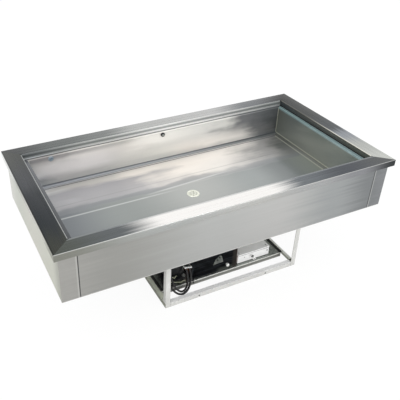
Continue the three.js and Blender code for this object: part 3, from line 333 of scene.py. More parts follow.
# %% Floor
def wire(tree, out, into):
    tree.links.new(out, into)


put_down()
bpy.ops.mesh.primitive_plane_add(size=30, location=(0, 0, -0.0005))
floor = settle(named("floor"))
floor_paint = bpy.data.materials.new("floor_white")
floor_paint.use_nodes = True
tree = floor_paint.node_tree
matt = tree.nodes["Principled BSDF"]
matt.inputs["Base Color"].default_value = (0.86, 0.86, 0.85, 1)
matt.inputs["Roughness"].default_value = 0.9
matt.inputs["Specular IOR Level"].default_value = 0.1
plain = tree.nodes.new("ShaderNodeEmission")
plain.inputs["Color"].default_value = (1, 1, 1, 1)
plain.inputs["Strength"].default_value = 1.03
ray = tree.nodes.new("ShaderNodeLightPath")
share = tree.nodes.new("ShaderNodeMath")
share.operation = "MULTIPLY"
share.inputs[1].default_value = 0.9
mix = tree.nodes.new("ShaderNodeMixShader")
wire(tree, ray.outputs["Is Camera Ray"], share.inputs[0])
wire(tree, share.outputs[0], mix.inputs[0])
wire(tree, matt.outputs[0], mix.inputs[1])
wire(tree, plain.outputs[0], mix.inputs[2])
wire(tree, mix.outputs[0], tree.nodes["Material Output"].inputs[0])
floor.data.materials.append(floor_paint)
print("floor laid")

# %% World
world = bpy.data.worlds.new("studio")
bpy.context.scene.world = world
world.use_nodes = True
tree = world.node_tree
sky = tree.nodes["Background"]
sky.inputs["Color"].default_value = (1.0, 1.0, 1.0, 1)
sky.inputs["Strength"].default_value = 1.0
white = tree.nodes.new("ShaderNodeBackground")
white.inputs["Color"].default_value = (1, 1, 1, 1)
white.inputs["Strength"].default_value = 1.0
ray = tree.nodes.new("ShaderNodeLightPath")
either = tree.nodes.new("ShaderNodeMath")
either.operation = "MAXIMUM"
mix = tree.nodes.new("ShaderNodeMixShader")
wire(tree, ray.outputs["Is Camera Ray"], either.inputs[0])
wire(tree, ray.outputs["Is Transmission Ray"], either.inputs[1])
wire(tree, either.outputs[0], mix.inputs[0])
wire(tree, sky.outputs[0], mix.inputs[1])
wire(tree, white.outputs[0], mix.inputs[2])
wire(tree, mix.outputs[0], tree.nodes["World Output"].inputs[0])
print("world lit")

# %% Lamps
def lamp(name, place, target, size, power):
    data = bpy.data.lights.new(name, "AREA")
    data.size = size
    data.energy = power
    thing = bpy.data.objects.new(name, data)
    bpy.context.scene.collection.objects.link(thing)
    way = Vector(target) - Vector(place)
    thing.matrix_world = (Matrix.Translation(Vector(place))
                          @ way.to_track_quat("-Z", "Y").to_matrix().to_4x4())
    return thing


lamp("left_softbox", (-2.6, -1.6, 2.6), (0, 0, 0.4), 2.4, 32)
lamp("front_softbox", (1.2, -3.2, 1.6), (0, 0, 0.3), 2.0, 20)
lamp("low_softbox", (0.7, -2.2, 0.14), (0.2, -0.15, 0.05), 0.25, 4)
print("stage set")

# %% [markdown]
# ## Finishes
#
# Every finish is built from nodes. Three things make a surface look real: its colour is
# never even, its roughness changes a little, and a fine bump catches the light. The nodes
# read the object's own coordinates, which are metres in the model's frame, so that a
# brushed line keeps its true size.

# %% Colours as written on a screen
def linear(text):
    """A colour written as on a screen, turned into the linear values Blender uses"""
    values = [int(text[i:i + 2], 16) / 255 for i in (1, 3, 5)]
    return tuple(v / 12.92 if v < 0.04045 else ((v + 0.055) / 1.055) ** 2.4 for v in values) + (1,)


print("mid grey is", round(linear("#808080")[0], 3), "in linear values")

# %% Helpers for finishes
class Finish:
    """A material with its nodes at hand"""

    def __init__(self, name, colour, roughness, metallic=0.0):
        self.material = bpy.data.materials.new(name)
        self.material.use_nodes = True
        self.tree = self.material.node_tree
        self.shader = self.tree.nodes["Principled BSDF"]
        self.set("Base Color", linear(colour))
        self.set("Roughness", roughness)
        self.set("Metallic", metallic)
        self.spot = self.add("ShaderNodeTexCoord")
        self.x, self.y, self.z = self.parts("Object")

    def add(self, kind, **settings):
        node = self.tree.nodes.new(kind)
        for key, value in settings.items():
            setattr(node, key, value)
        return node

    def wire(self, out, into):
        self.tree.links.new(out, into)

    def put(self, value, socket):
        """A number or a written colour is set on the socket, anything else is wired to it"""
        if isinstance(value, str):
            socket.default_value = linear(value)
        elif isinstance(value, (int, float)):
            socket.default_value = value
        else:
            self.wire(value, socket)

    def parts(self, what):
        """The three numbers of a place or of a direction"""
        node = self.add("ShaderNodeSeparateXYZ")
        self.wire(self.spot.outputs[what], node.inputs[0])
        return [node.outputs[axis] for axis in "XYZ"]

    def set(self, socket, value):
        self.shader.inputs[socket].default_value = value

    def into(self, socket, out):
        self.wire(out, self.shader.inputs[socket])

    def sums(self, operation, *values):
        node = self.add("ShaderNodeMath", operation=operation)
        for value, socket in zip(values, node.inputs):
            self.put(value, socket)
        return node.outputs[0]

    def times(self, first, *others):
        for other in others:
            first = self.sums("MULTIPLY", first, other)
        return first

    def plus(self, one, two):
        return self.sums("ADD", one, two)

    def less(self, one, two):
        return self.sums("SUBTRACT", one, two)

    def size(self, value):
        """The value without its sign"""
        return self.sums("ABSOLUTE", value)

    def over(self, value, limit):
        """1 where the value is over the limit, and 0 elsewhere"""
        return self.sums("GREATER_THAN", value, limit)

    def under(self, value, limit):
        return self.sums("LESS_THAN", value, limit)

    def fit(self, value, low, high, to_low=0.0, to_high=1.0):
        node = self.add("ShaderNodeMapRange", clamp=True)
        self.wire(value, node.inputs["Value"])
        for key, number in (("From Min", low), ("From Max", high),
                            ("To Min", to_low), ("To Max", to_high)):
            node.inputs[key].default_value = number
        return node.outputs["Result"]

    def tones(self, value, stops):
        """A ramp of colours along a value. Stops are (place, colour)"""
        node = self.add("ShaderNodeValToRGB")
        ramp = node.color_ramp
        ramp.interpolation = "EASE"
        low, high = stops[0][0], stops[-1][0]
        while len(ramp.elements) < len(stops):
            ramp.elements.new(0.5)
        for element, (place, colour) in zip(ramp.elements, stops):
            element.position = (place - low) / (high - low)
            element.color = linear(colour)
        self.wire(self.fit(value, low, high), node.inputs["Fac"])
        return node.outputs["Color"]

    def blend(self, share, one, two, how="MIX"):
        node = self.add("ShaderNodeMix", data_type="RGBA", blend_type=how)
        for value, place in ((share, 0), (one, 6), (two, 7)):
            self.put(value, node.inputs[place])
        return node.outputs[2]

    def noise(self, stretch, detail=3.0):
        """Noise with one scale per metre, or its own along each of the object's axes"""
        if isinstance(stretch, (int, float)):
            stretch = (stretch, stretch, stretch)
        mapping = self.add("ShaderNodeMapping")
        mapping.inputs["Scale"].default_value = stretch
        self.wire(self.spot.outputs["Object"], mapping.inputs["Vector"])
        node = self.add("ShaderNodeTexNoise")
        node.inputs["Scale"].default_value = 1.0
        node.inputs["Detail"].default_value = detail
        node.inputs["Roughness"].default_value = 0.55
        self.wire(mapping.outputs[0], node.inputs["Vector"])
        return node.outputs["Fac"]

    def bump(self, height, depth, strength):
        node = self.add("ShaderNodeBump")
        node.inputs["Distance"].default_value = depth
        node.inputs["Strength"].default_value = strength
        self.wire(height, node.inputs["Height"])
        self.into("Normal", node.outputs[0])

    def rough(self, value, low, high):
        self.into("Roughness", self.fit(value, 0.3, 0.7, low, high))


print("finish helpers ready")

# %% [markdown]
# ### Brushed steel of the rim
#
# The rim is four boards of brushed sheet, welded at their mitred corners and ground
# flush. The brushing follows each board, so the grain changes direction at the mitre. In
# the photograph long soft bands of dark and light run along each board. They are painted
# here by place, as the photograph has them, and so they don't move with the camera as
# true reflections would. Which board a point is on comes from its place too: the mitre is
# the line where both borders are used up equally.

# %% Helpers for brushed steel
opening_x, opening_y = 0.610, 0.290
border_x, border_y = 0.065, 0.060


def brushed(finish, along, across, up):
    """A grain of fine lines: long on one axis and very short on the others"""
    fine = finish.noise((along, across, up), detail=4)
    wide = finish.noise((along / 6, across / 8, up / 8), detail=2)
    return finish.plus(finish.times(fine, 0.6), finish.times(wide, 0.4))


def shade_by(finish, colour, value, amount):
    """The colour made lighter and darker by a value near a half"""
    light = finish.fit(value, 0.25, 0.75, 1 - amount, 1 + amount)
    grey = finish.add("ShaderNodeCombineColor")
    for channel in grey.inputs:
        finish.wire(light, channel)
    return finish.blend(1.0, colour, grey.outputs[0], "MULTIPLY")


def either_by(finish, share, one, two):
    """One number or another"""
    node = finish.add("ShaderNodeMix", data_type="FLOAT")
    for value, place in ((share, 0), (one, 2), (two, 3)):
        finish.put(value, node.inputs[place])
    return node.outputs[0]


print("brushed steel helpers ready")

# %% Rim finish
rim_steel = Finish("rim_brushed_steel", "#9a9c9c", 0.3, 0.9)
f = rim_steel
x, y, z = f.x, f.y, f.z
face_x, face_y, face_z = f.parts("Normal")
past_x = f.sums("DIVIDE", f.less(f.size(x), opening_x), border_x)
past_y = f.sums("DIVIDE", f.less(f.size(y), opening_y), border_y)
mitre = f.less(past_x, past_y)
on_end = f.over(mitre, 0.0)
on_side = f.less(1.0, on_end)
is_back = f.over(y, 0.0)
is_right = f.over(x, 0.0)
grain = either_by(f, on_end, brushed(f, 5, 1300, 1300), brushed(f, 1300, 5, 1300))
streak = either_by(f, on_end, f.noise((1.5, 90, 90), 3), f.noise((90, 1.5, 90), 3))
drift = f.fit(streak, 0.25, 0.75, -0.035, 0.035)
drawn_x, drawn_y = f.plus(x, drift), f.plus(y, drift)
front = f.tones(drawn_x, [
    (-0.66, "#555954"), (-0.45, "#636769"), (-0.29, "#f7f5f2"), (0.11, "#f6f4f1"),
    (0.25, "#6e7377"), (0.45, "#4c5056"), (0.66, "#595b5b")])
back = f.tones(drawn_x, [
    (-0.66, "#4a4c4d"), (-0.44, "#6a6e6d"), (-0.26, "#7f8281"), (-0.1, "#b5b6b4"),
    (0.23, "#bdbdbc"), (0.45, "#727578"), (0.66, "#131515")])
left = f.tones(drawn_y, [
    (-0.33, "#42443f"), (-0.18, "#33373a"), (-0.02, "#3b3e41"), (0.08, "#4d4f52"),
    (0.33, "#50524f")])
right = f.tones(drawn_y, [
    (-0.33, "#c7c9c4"), (-0.2, "#b3b5b1"), (-0.1, "#90949a"), (-0.03, "#4d5154"),
    (0.15, "#3c3f3e"), (0.33, "#1f211f")])
boards = f.blend(on_end, f.blend(is_back, front, back), f.blend(is_right, left, right))
print("rim boards toned")

# %% Rim edges, skirt and mitre
def thin_line(finish, value, place, width, strength):
    """A soft line where a value passes a place"""
    away = finish.size(finish.less(value, place))
    return finish.times(finish.fit(away, width * 0.4, width, 1.0, 0.0), strength)


# The tones of the lip and the skirt are painted reflections. The white rows on the back skirt are
# painted highlights of its folds, and the dark end skirts are painted shade.
edge_front = f.tones(x, [
    (-0.67, "#80817a"), (-0.3, "#a4a6a5"), (0.05, "#b1b1af"), (0.3, "#a2a3a4"),
    (0.5, "#88898d"), (0.67, "#303335")])
edge_end = f.tones(y, [
    (-0.34, "#7d7f70"), (-0.21, "#c2c3ba"), (-0.07, "#bab9b4"), (0.07, "#a3a69e"),
    (0.2, "#d4d6d5"), (0.34, "#f0f1f0")])
faces_end = f.over(f.size(face_x), 0.5)
outside = f.blend(faces_end, edge_front, edge_end)
skirt_rows = f.tones(z, [
    (0.4785, "#f4f4f2"), (0.4832, "#f0f0ee"), (0.4850, "#a3a6a5"), (0.4925, "#adb0ae"),
    (0.4942, "#f0f0ee")])
skirt_light = f.tones(x, [
    (-0.6, "#84888a"), (-0.3, "#c6c8c7"), (0.0, "#ffffff"), (0.3, "#e9e9e9"),
    (0.6, "#aeb2b2")])
skirt_back = f.blend(1.0, skirt_rows, skirt_light, "MULTIPLY")
skirt_end = f.tones(y, [(-0.29, "#50534c"), (0.1, "#484a48"), (0.29, "#3a3f41")])
inside = f.blend(faces_end, skirt_back, skirt_end)
is_inside = f.times(f.under(past_x, 0.06), f.under(past_y, 0.06))
upright = f.blend(is_inside, outside, inside)
print("skirt and lip toned")

# %% Lines along the rim's edges
# The dark lines along the outer edges of the back board, toward the left, and of the end boards are
# painted dark reflections.
far_left = f.fit(x, -0.10, -0.40)
far_back = f.fit(y, -0.10, 0.15)
by_sides = f.times(f.over(past_y, 0.93), f.times(is_back, far_left))
by_end = f.times(f.over(past_x, 0.94), either_by(f, is_right, 1.0, far_back))
dark_edge = f.times(f.sums("MAXIMUM", f.times(by_sides, on_side), f.times(by_end, on_end)), 0.7)
boards = f.blend(dark_edge, boards, "#1c1f20")
# The light bands along the inner edges of the front board and of the end boards are painted
# highlights.
front_inner = f.times(f.fit(past_y, 0.15, 0.10), f.less(1.0, is_back), on_side)
boards = f.blend(f.times(front_inner, 0.5), boards, "#a3a7a9")
end_inner = f.times(f.fit(past_x, 0.055, 0.03), on_end)
end_light = f.blend(is_right, "#b9bcbb", f.tones(y, [(-0.1, "#efede2"), (0.12, "#6f6d66")]))
boards = f.blend(f.times(end_inner, 0.8), boards, end_light)
tone = f.blend(f.fit(face_z, 0.86, 0.97), upright, boards)
# The outer folds get painted highlights on the front and the right and painted dark reflections on
# the back and the left. The inner folds get painted highlights.
folded = f.times(f.fit(face_z, 0.12, 0.3), f.fit(face_z, 0.97, 0.9))
outer_fold = f.blend(on_end, f.blend(is_back, "#c3c4c2", "#34383a"),
                     f.blend(is_right, "#17191a", "#d5d6d2"))
inner_fold = f.blend(on_end, f.blend(1.0, "#f2f2f0", skirt_light, "MULTIPLY"),
                     f.blend(is_right, "#d9dad8", end_light))
tone = f.blend(f.times(folded, 0.85), tone, f.blend(is_inside, outer_fold, inner_fold))
tone = shade_by(f, tone, grain, 0.08)
weld = f.fit(f.size(mitre), 0.0, 0.012, 1.0, 0.0)
weld = f.times(weld, f.over(face_z, 0.5), 0.5)
tone = f.blend(weld, tone, "#303233")
f.into("Base Color", tone)
skirt = f.times(is_inside, f.fit(face_z, 0.9, 0.5))
f.into("Metallic", either_by(f, skirt, 0.9, 0.2))
f.rough(grain, 0.22, 0.36)
f.bump(grain, 0.00004, 0.5)
print("rim finish done")

# %% [markdown]
# ### Steel of the tank
#
# The tank is smoother than the rim, with hardly any grain, so its faces show each other.
# In the photograph the back wall is light in the middle with a dark right end. The floor
# repeats that wall down to the line where the wall's top edge is mirrored, and is plain
# grey in front of it. All this is painted by place for the photograph's own angle. It
# isn't a true reflection, and it stays where it is when the camera moves. The edges of
# these tones wander a little, because their places are first disturbed with slow noise.

# %% Tank finish
tank_steel = Finish("tank_bright_steel", "#b9bab8", 0.2, 0.35)
f = tank_steel
x, y, z = f.x, f.y, f.z
face_x, face_y, face_z = f.parts("Normal")
cloud = f.noise((3.2, 6.0, 6.0), detail=4)
flame = f.noise((3.0, 22, 22), detail=4)
drawn_x = f.plus(x,
                 f.plus(f.fit(cloud, 0.25, 0.75, -0.10, 0.10),
                        f.fit(flame, 0.25, 0.75, -0.06, 0.06)))
drawn_y = f.plus(y,
                 f.plus(f.fit(cloud, 0.25, 0.75, -0.02, 0.02),
                        f.fit(flame, 0.25, 0.75, -0.014, 0.014)))
wall_top = f.tones(drawn_x, [
    (-0.6, "#a8abb0"), (-0.47, "#b9b5b2"), (-0.34, "#f4efea"), (-0.2, "#e2ded8"),
    (0.0, "#fffcf6"), (0.21, "#fffdf8"), (0.335, "#8a8b8e"), (0.6, "#5c6062")])
wall_foot = f.tones(drawn_x, [
    (-0.6, "#85888b"), (-0.4, "#b6b5b3"), (-0.05, "#c2c3be"), (0.17, "#d2cec8"),
    (0.34, "#fffbf5"), (0.45, "#868788"), (0.6, "#454846")])
back_wall = f.blend(f.fit(z, 0.44, 0.372), wall_top, wall_foot)
# On the back wall, the dark band near the top and the dark band near the floor are painted shade,
# and the light band between them is painted light.
top_band = f.times(f.fit(z, 0.452, 0.466), f.fit(drawn_x, -0.05, -0.35))
back_wall = f.blend(f.times(top_band, 0.45), back_wall, "#77757a")
glow = f.times(thin_line(f, z, 0.418, 0.045, 0.65), f.fit(drawn_x, -0.1, -0.35))
back_wall = f.blend(glow, back_wall, "#e9e5e4")
low_band = f.times(f.fit(f.plus(z, f.times(f.less(cloud, 0.5), 0.03)), 0.374, 0.356), 0.38)
back_wall = f.blend(low_band, back_wall, "#80868a")
# The end walls' tones are painted shade. The left end wall is painted lighter, as painted light, so
# that the floor reflects it lighter.
end_high = f.tones(y, [(-0.27, "#767e78"), (0.0, "#6f7771"), (0.16, "#6b716e"), (0.27, "#686b65")])
end_low = f.tones(y, [(-0.27, "#9ba09b"), (0.0, "#888c85"), (0.27, "#7b807a")])
end_wall = f.blend(f.fit(z, 0.46, 0.37), end_high, end_low)
end_wall = f.blend(f.under(x, 0.0), end_wall, "#c4c8c5")
mirrored = f.tones(drawn_x, [
    (-0.6, "#ffffff"), (-0.47, "#d2cfcb"), (-0.32, "#d6d3ce"), (-0.1, "#fff8f0"),
    (0.26, "#fffaf4"), (0.42, "#bbbab7"), (0.58, "#767976")])
# A grey dimming near the back left and a grey fade toward the front are part of the painted
# reflection on the floor.
reflection_dimming = f.times(f.fit(drawn_y, 0.225, 0.195), f.fit(drawn_x, 0.02, -0.16))
mirrored = f.blend(f.times(reflection_dimming, 0.8), mirrored, "#a5a6ac")
mirrored = f.blend(f.fit(drawn_y, 0.20, 0.08, 0.0, 0.3), mirrored, "#b4b5b5")
grey_floor = f.tones(x, [
    (-0.58, "#7a7f84"), (-0.3, "#949997"), (0.02, "#b3b5b2"), (0.28, "#a0a5a4"),
    (0.42, "#838888"), (0.58, "#959b94")])
# The plain floor is painted greyer toward the front wall.
grey_floor = f.blend(f.fit(y, -0.04, -0.16, 0.0, 0.2), grey_floor, "#858887")
floor_tone = f.blend(f.fit(drawn_y, 0.045, 0.09), grey_floor, mirrored)
print("tank tones done")

# %% Painted lines of the mirrored wall on the floor
dark_streak = f.times(f.fit(drawn_y, 0.050, 0.060), f.fit(drawn_y, 0.092, 0.078))
floor_tone = f.blend(f.times(dark_streak, 0.45), floor_tone, "#80858a")
left_line = f.times(thin_line(f, y, 0.036, 0.0055, 0.5), f.fit(drawn_x, -0.08, -0.18))
right_line = f.times(thin_line(f, f.less(y, f.times(x, 0.06)), 0.062, 0.0060, 0.5),
                     f.times(f.fit(drawn_x, -0.2, -0.1), f.fit(drawn_x, 0.3, 0.12)))
floor_tone = f.blend(f.sums("MAXIMUM", left_line, right_line), floor_tone, "#dfe1df")
floor_tone = f.blend(thin_line(f, y, 0.118, 0.004, 0.28), floor_tone, "#8c8d90")
upward = f.fit(f.size(face_z), 0.35, 0.85)
sideways = f.fit(f.size(face_x), 0.35, 0.85)
tone = f.blend(upward, f.blend(sideways, back_wall, end_wall), floor_tone)
print("floor lines done")

# %% Cove, corners and ledge of the tank
wall_x, wall_y = 0.590, 0.270
cove_top, ledge_level = 0.3515, 0.476
from_wall = f.less(wall_y, f.size(y))
from_end = f.less(wall_x, f.size(x))
by_the_end = f.under(from_end, from_wall)
is_right = f.over(x, 0.0)
# The cove is painted darker: painted shade.
in_cove = f.times(f.under(z, cove_top),
                  f.times(f.fit(face_z, 0.03, 0.12), f.fit(face_z, 0.985, 0.93)))
cove_tone = f.blend(by_the_end, f.tones(x, [
    (-0.55, "#8b8f96"), (0.0, "#85898c"), (0.5, "#6f7374")]), "#62655f")
tone = f.blend(f.times(in_cove, 0.9), tone, cove_tone)
# Along the cove's edges the back gets dark lines of painted shade and the ends light lines of
# painted highlight. The light line down each back corner is a painted highlight.
nearest = f.sums("MINIMUM", from_wall, from_end)
crease = f.sums("MAXIMUM", thin_line(f, z, 0.3500, 0.0032, 0.85),
                thin_line(f, nearest, 0.0125, 0.0030, 0.85))
below = f.under(z, ledge_level)
tone = f.blend(f.times(crease, below), tone, f.blend(by_the_end, "#565a61", "#c3c4b5"))
corner_line = f.times(thin_line(f, from_end, 0.0012, 0.0036, 0.8), f.over(z, cove_top),
                      f.less(1.0, sideways), below)
tone = f.blend(corner_line, tone, "#c9cabc")
# The teal strip along the top of the right end wall is a painted reflection.
teal = f.tones(y, [(-0.29, "#93a9ac"), (0.29, "#82999a")])
end_top = f.times(sideways, f.fit(z, 0.4675, 0.4705), is_right)
tone = f.blend(end_top, tone, teal)
# The ledge's tones are painted reflection and shade: lighter along the back, darker on the ends,
# with a dark line near the back wall and the teal painted reflection on the right.
on_ledge = f.times(f.over(z, 0.4765), f.fit(face_z, 0.3, 0.9))
ledge_light = f.tones(x, [
    (-0.6, "#e6eaec"), (-0.42, "#cdcecd"), (-0.26, "#dcdcda"), (-0.09, "#d2d2d0"),
    (0.15, "#f2f2f0"), (0.42, "#bcbebd"), (0.6, "#9da1a3")])
ledge_back = f.blend(f.fit(from_wall, -0.0125, -0.0115), ledge_light, wall_top)
ledge_back = f.blend(thin_line(f, from_wall, -0.0105, 0.0050, 0.9), ledge_back, "#4b4d4f")
ledge_left = f.tones(y, [(-0.29, "#4b4f52"), (0.29, "#6d7074")])
ledge_right = f.blend(f.fit(from_end, -0.0135, -0.0125), "#33383a", teal)
ledge = f.blend(by_the_end, ledge_back, f.blend(is_right, ledge_left, ledge_right))
tone = f.blend(on_ledge, tone, ledge)
tone = shade_by(f, tone, brushed(f, 4, 700, 700), 0.02)
f.into("Base Color", tone)
f.rough(cloud, 0.14, 0.26)
f.bump(cloud, 0.0004, 0.25)
print("tank finish done")

# %% [markdown]
# ### Steel of the casing
#
# The casing is brushed along its length, and its light and dark bands are painted by
# place, as on the rim. Where an end cover meets the front panel there is a fine dark
# joint with a painted highlight beside it. A painted highlight also runs along the hem.

# %% Casing finish
casing_steel = Finish("casing_brushed_steel", "#b0b2b2", 0.38, 0.8)
f = casing_steel
x, y, z = f.x, f.y, f.z
face_x, face_y, face_z = f.parts("Normal")
streak = f.noise((1.2, 60, 60), 3)
drawn_x = f.plus(x, f.fit(streak, 0.25, 0.75, -0.05, 0.05))
front = f.tones(drawn_x, [
    (-0.66, "#a09f9c"), (-0.49, "#979794"), (-0.1, "#adaead"), (0.16, "#b3b3b2"),
    (0.42, "#989b9c"), (0.6, "#7a7d7f"), (0.66, "#808285")])
end = f.tones(y, [
    (-0.335, "#a4a59c"), (-0.25, "#c7c8bd"), (0.0, "#c9c9c0"), (0.18, "#c3c6bd"),
    (0.335, "#d2d3ce")])
faces_end = f.over(f.size(face_x), 0.5)
tone = f.blend(faces_end, front, end)
grain = either_by(f, faces_end, brushed(f, 4, 1200, 1200), brushed(f, 1200, 4, 1200))
tone = shade_by(f, tone, grain, 0.07)
from_joint = f.less(f.size(x), 0.5978)
dark_joint = f.fit(f.size(from_joint), 0.0010, 0.0024, 0.9, 0.0)
# Beside the dark joint runs a painted highlight.
joint_highlight = f.fit(f.size(f.less(from_joint, 0.0045)), 0.0010, 0.0040, 0.3, 0.0)
tone = f.blend(joint_highlight, tone, "#d6d6d3")
tone = f.blend(dark_joint, tone, "#3c3e40")
# The light line along the hem at the bottom is a painted highlight.
hem_highlight = f.fit(z, 0.2915, 0.2935, 0.6, 0.0)
tone = f.blend(hem_highlight, tone, "#e0e0dd")
f.into("Base Color", tone)
f.rough(grain, 0.32, 0.46)
f.bump(grain, 0.00004, 0.5)
print("casing finish done")

# %% [markdown]
# ### Paint, zinc, copper, rubber and plastic
#
# The smaller finishes follow the same plan. Paint on angle iron is slightly orange peeled
# and dusty. Zinc shows its crystals. Copper darkens in patches. Black pieces get a haze
# of dust, or they would look like holes. The frame's white upper faces are painted light,
# its rails get painted shade, the zinc near the deck painted shade and the zinc's low
# front edge a painted highlight, all by place.

# %% Paint of the frame
frame_paint = Finish("off_white_paint", "#e4e3dc", 0.45)
f = frame_paint
patches = f.noise(14, detail=5)
peel = f.noise(900, detail=2)
tone = f.tones(patches, [(0.3, "#c3c3c0"), (0.5, "#cdcdca"), (0.7, "#d4d4d1")])
face_x, face_y, face_z = f.parts("Normal")
# Upward faces are painted white: painted light.
tone = f.blend(f.fit(face_z, 0.5, 0.9), tone, "#ffffff")
# Faces of the rails that look to the left are painted darker: painted shade.
rail_side = f.times(f.fit(face_x, -0.5, -0.8), f.fit(f.z, 0.0208, 0.0200))
tone = f.blend(f.times(rail_side, 0.9), tone, "#808274")
inner = f.times(f.under(f.size(f.y), 0.170), f.under(f.size(face_x), 0.5),
                f.under(f.size(f.less(f.x, 0.066)), 0.284))
# The side rails' upper faces are painted by place: the right one darker along its inner part as
# painted shade, the left one a little darker toward the back.
side_rail = f.times(f.over(face_z, 0.5), f.under(f.z, 0.021))
right_rows = f.tones(f.x, [
    (0.3500, "#a3a598"), (0.3570, "#a9ab9e"), (0.3600, "#dfe1d9"), (0.3710, "#e8eae3")])
left_rows = f.tones(f.y, [(-0.225, "#d8d8d4"), (-0.19, "#d5d8c8"), (-0.10, "#d2d5c6")])
tone = f.blend(f.times(side_rail, f.fit(f.x, 0.3505, 0.3508)), tone, right_rows)
tone = f.blend(f.times(side_rail, f.fit(f.x, -0.2185, -0.2192)), tone, left_rows)
# On the cross rails under the deck the rows are painted shade, with a painted highlight along their
# top edge and darker painted shade on their upper faces.
shade_and_highlight_rows = f.tones(f.z, [
    (0.0000, "#c4c5c0"), (0.0035, "#bdbeb9"), (0.0055, "#8a8b86"), (0.0160, "#8a8b85"),
    (0.0178, "#fbfcf7"), (0.0200, "#fbfcf7")])
shade_and_highlight_rows = f.blend(f.fit(face_z, 0.6, 0.95), shade_and_highlight_rows, "#4a4b45")
tone = f.blend(inner, tone, shade_and_highlight_rows)
f.into("Base Color", tone)
f.rough(patches, 0.38, 0.55)
f.bump(peel, 0.00008, 0.5)
print("frame paint done")

# %% Paint of the control box
box_paint = Finish("white_box_paint", "#f0f0ee", 0.4)
f = box_paint
patches = f.noise(20, detail=4)
tone = f.tones(patches, [(0.3, "#fbfbfa"), (0.7, "#ffffff")])
# The dark line under the lid is the seam. The dark band along the box's foot is painted shade.
seam = f.sums("MAXIMUM", thin_line(f, f.z, 0.0601, 0.0013, 0.9), f.fit(f.z, 0.0246, 0.0238))
tone = f.blend(seam, tone, "#2e2f31")
f.into("Base Color", tone)
f.rough(patches, 0.34, 0.5)
f.bump(f.noise(1100, detail=2), 0.00005, 0.5)
print("box paint done")

# %% Zinc of the deck
zinc = Finish("galvanised_zinc", "#8f938f", 0.42, 0.85)
f = zinc
crystal = f.add("ShaderNodeTexVoronoi")
crystal.inputs["Scale"].default_value = 160
f.wire(f.spot.outputs["Object"], crystal.inputs["Vector"])
crystal_tone = f.add("ShaderNodeSeparateColor")
f.wire(crystal.outputs["Color"], crystal_tone.inputs[0])
haze = f.noise(25, detail=4)
tone = f.tones(crystal_tone.outputs[0], [(0.0, "#7f837f"), (1.0, "#a4a8a3")])
face_x, face_y, face_z = f.parts("Normal")
tone = shade_by(f, tone, haze, 0.15)
shaded = f.times(f.fit(f.z, 0.03, 0.05), f.fit(f.z, 0.27, 0.26),
                 f.fit(f.y, -0.154, -0.150, 0.3, 1.0), 0.7)
tone = f.blend(shaded, tone, "#3d443f")
# The low front-facing edges of the zinc are painted white: a painted highlight.
edge_highlight = f.times(f.fit(face_y, -0.4, -0.7), f.fit(f.z, 0.03, 0.025))
tone = f.blend(edge_highlight, tone, "#ffffff")
f.into("Base Color", tone)
f.rough(crystal_tone.outputs[0], 0.34, 0.52)
print("zinc done")

# %% Metal of the fins
fin_metal = Finish("dark_fin_metal", "#26282b", 0.5, 0.6)
f = fin_metal
dust = f.noise((40, 200, 40), detail=5)
tone = f.tones(dust, [(0.35, "#1d2024"), (0.75, "#43484e")])
row = f.noise((6, 6, 230), detail=2)
tone = f.blend(f.fit(row, 0.52, 0.66, 0.0, 0.8), tone, "#6b7178")
foot = f.times(f.fit(f.z, 0.040, 0.034), f.fit(f.x, 0.03, 0.05))
tone = f.blend(f.times(foot, 0.8), tone, "#8d928c")
tone = f.blend(f.fit(f.x, 0.106, 0.112, 0.0, 0.7), tone, "#77706a")
f.into("Base Color", tone)
f.rough(dust, 0.4, 0.62)
print("fin metal done")

# %% Finishes that only change in patches
def patchy(name, colour, roughness, metallic, patches, tones, rough, grain=None):
    """A finish whose tone and roughness change in patches. The patches are (scale, detail),
    and the grain is (scale, depth) of a fine bump"""
    finish = Finish(name, colour, roughness, metallic)
    finish.patches = finish.noise(*patches)
    finish.into("Base Color", finish.tones(finish.patches, tones))
    finish.rough(finish.patches, *rough)
    if grain:
        finish.bump(finish.noise(grain[0], 2), grain[1], 0.5)
    return finish


black_paint = patchy("black_gloss_paint", "#1c1d20", 0.38, 0, (30, 5),
                     [(0.35, "#151619"), (0.75, "#2b2c2e")], (0.28, 0.55), (700, 0.00006))
black_paint.set("Coat Weight", 0.2)
copper = patchy("dull_copper", "#b06a45", 0.34, 0.95, (45, 5), [
    (0.3, "#7d4630"), (0.5, "#b46f49"), (0.7, "#d08e63")], (0.25, 0.48))
bright_chrome = patchy("polished_chrome", "#e6e8dc", 0.14, 0.55, (60, 4),
                       [(0.3, "#e6e9da"), (0.7, "#f6f7ec")], (0.1, 0.24))
steel_screw = patchy("plated_screw", "#b9bab8", 0.3, 1.0, (300, 3),
                     [(0.3, "#a2a3a1"), (0.7, "#cdcecb")], (0.22, 0.4))
rubber = patchy("black_rubber", "#161616", 0.75, 0, (60, 5), [(0.35, "#101010"), (0.75, "#262625")],
                (0.66, 0.85), (1500, 0.00008))
black_plastic = patchy("black_plastic", "#1b1b1d", 0.45, 0, (50, 4),
                       [(0.35, "#151517"), (0.75, "#26262a")], (0.38, 0.56), (2200, 0.00004))
grey_plastic = patchy("grey_plastic", "#8b97a0", 0.42, 0, (80, 4),
                      [(0.35, "#7f8b95"), (0.7, "#97a3ab")], (0.36, 0.5))
white_plastic = patchy("white_plastic", "#f4f4f2", 0.35, 0, (60, 3),
                       [(0.35, "#efefec"), (0.7, "#fafaf8")], (0.3, 0.42))
white_plastic.set("Subsurface Weight", 0.05)
foam_finish = patchy("yellow_foam", "#d9c27a", 0.9, 0, (400, 4),
                     [(0.3, "#bfa55c"), (0.7, "#e3d08f")], (0.82, 0.95))
foam_finish.bump(foam_finish.patches, 0.0006, 0.7)
sheath = patchy("cord_sheath", "#121213", 0.36, 0, (70, 4), [(0.35, "#0b0b0c"), (0.75, "#1d1d1f")],
                (0.2, 0.3))
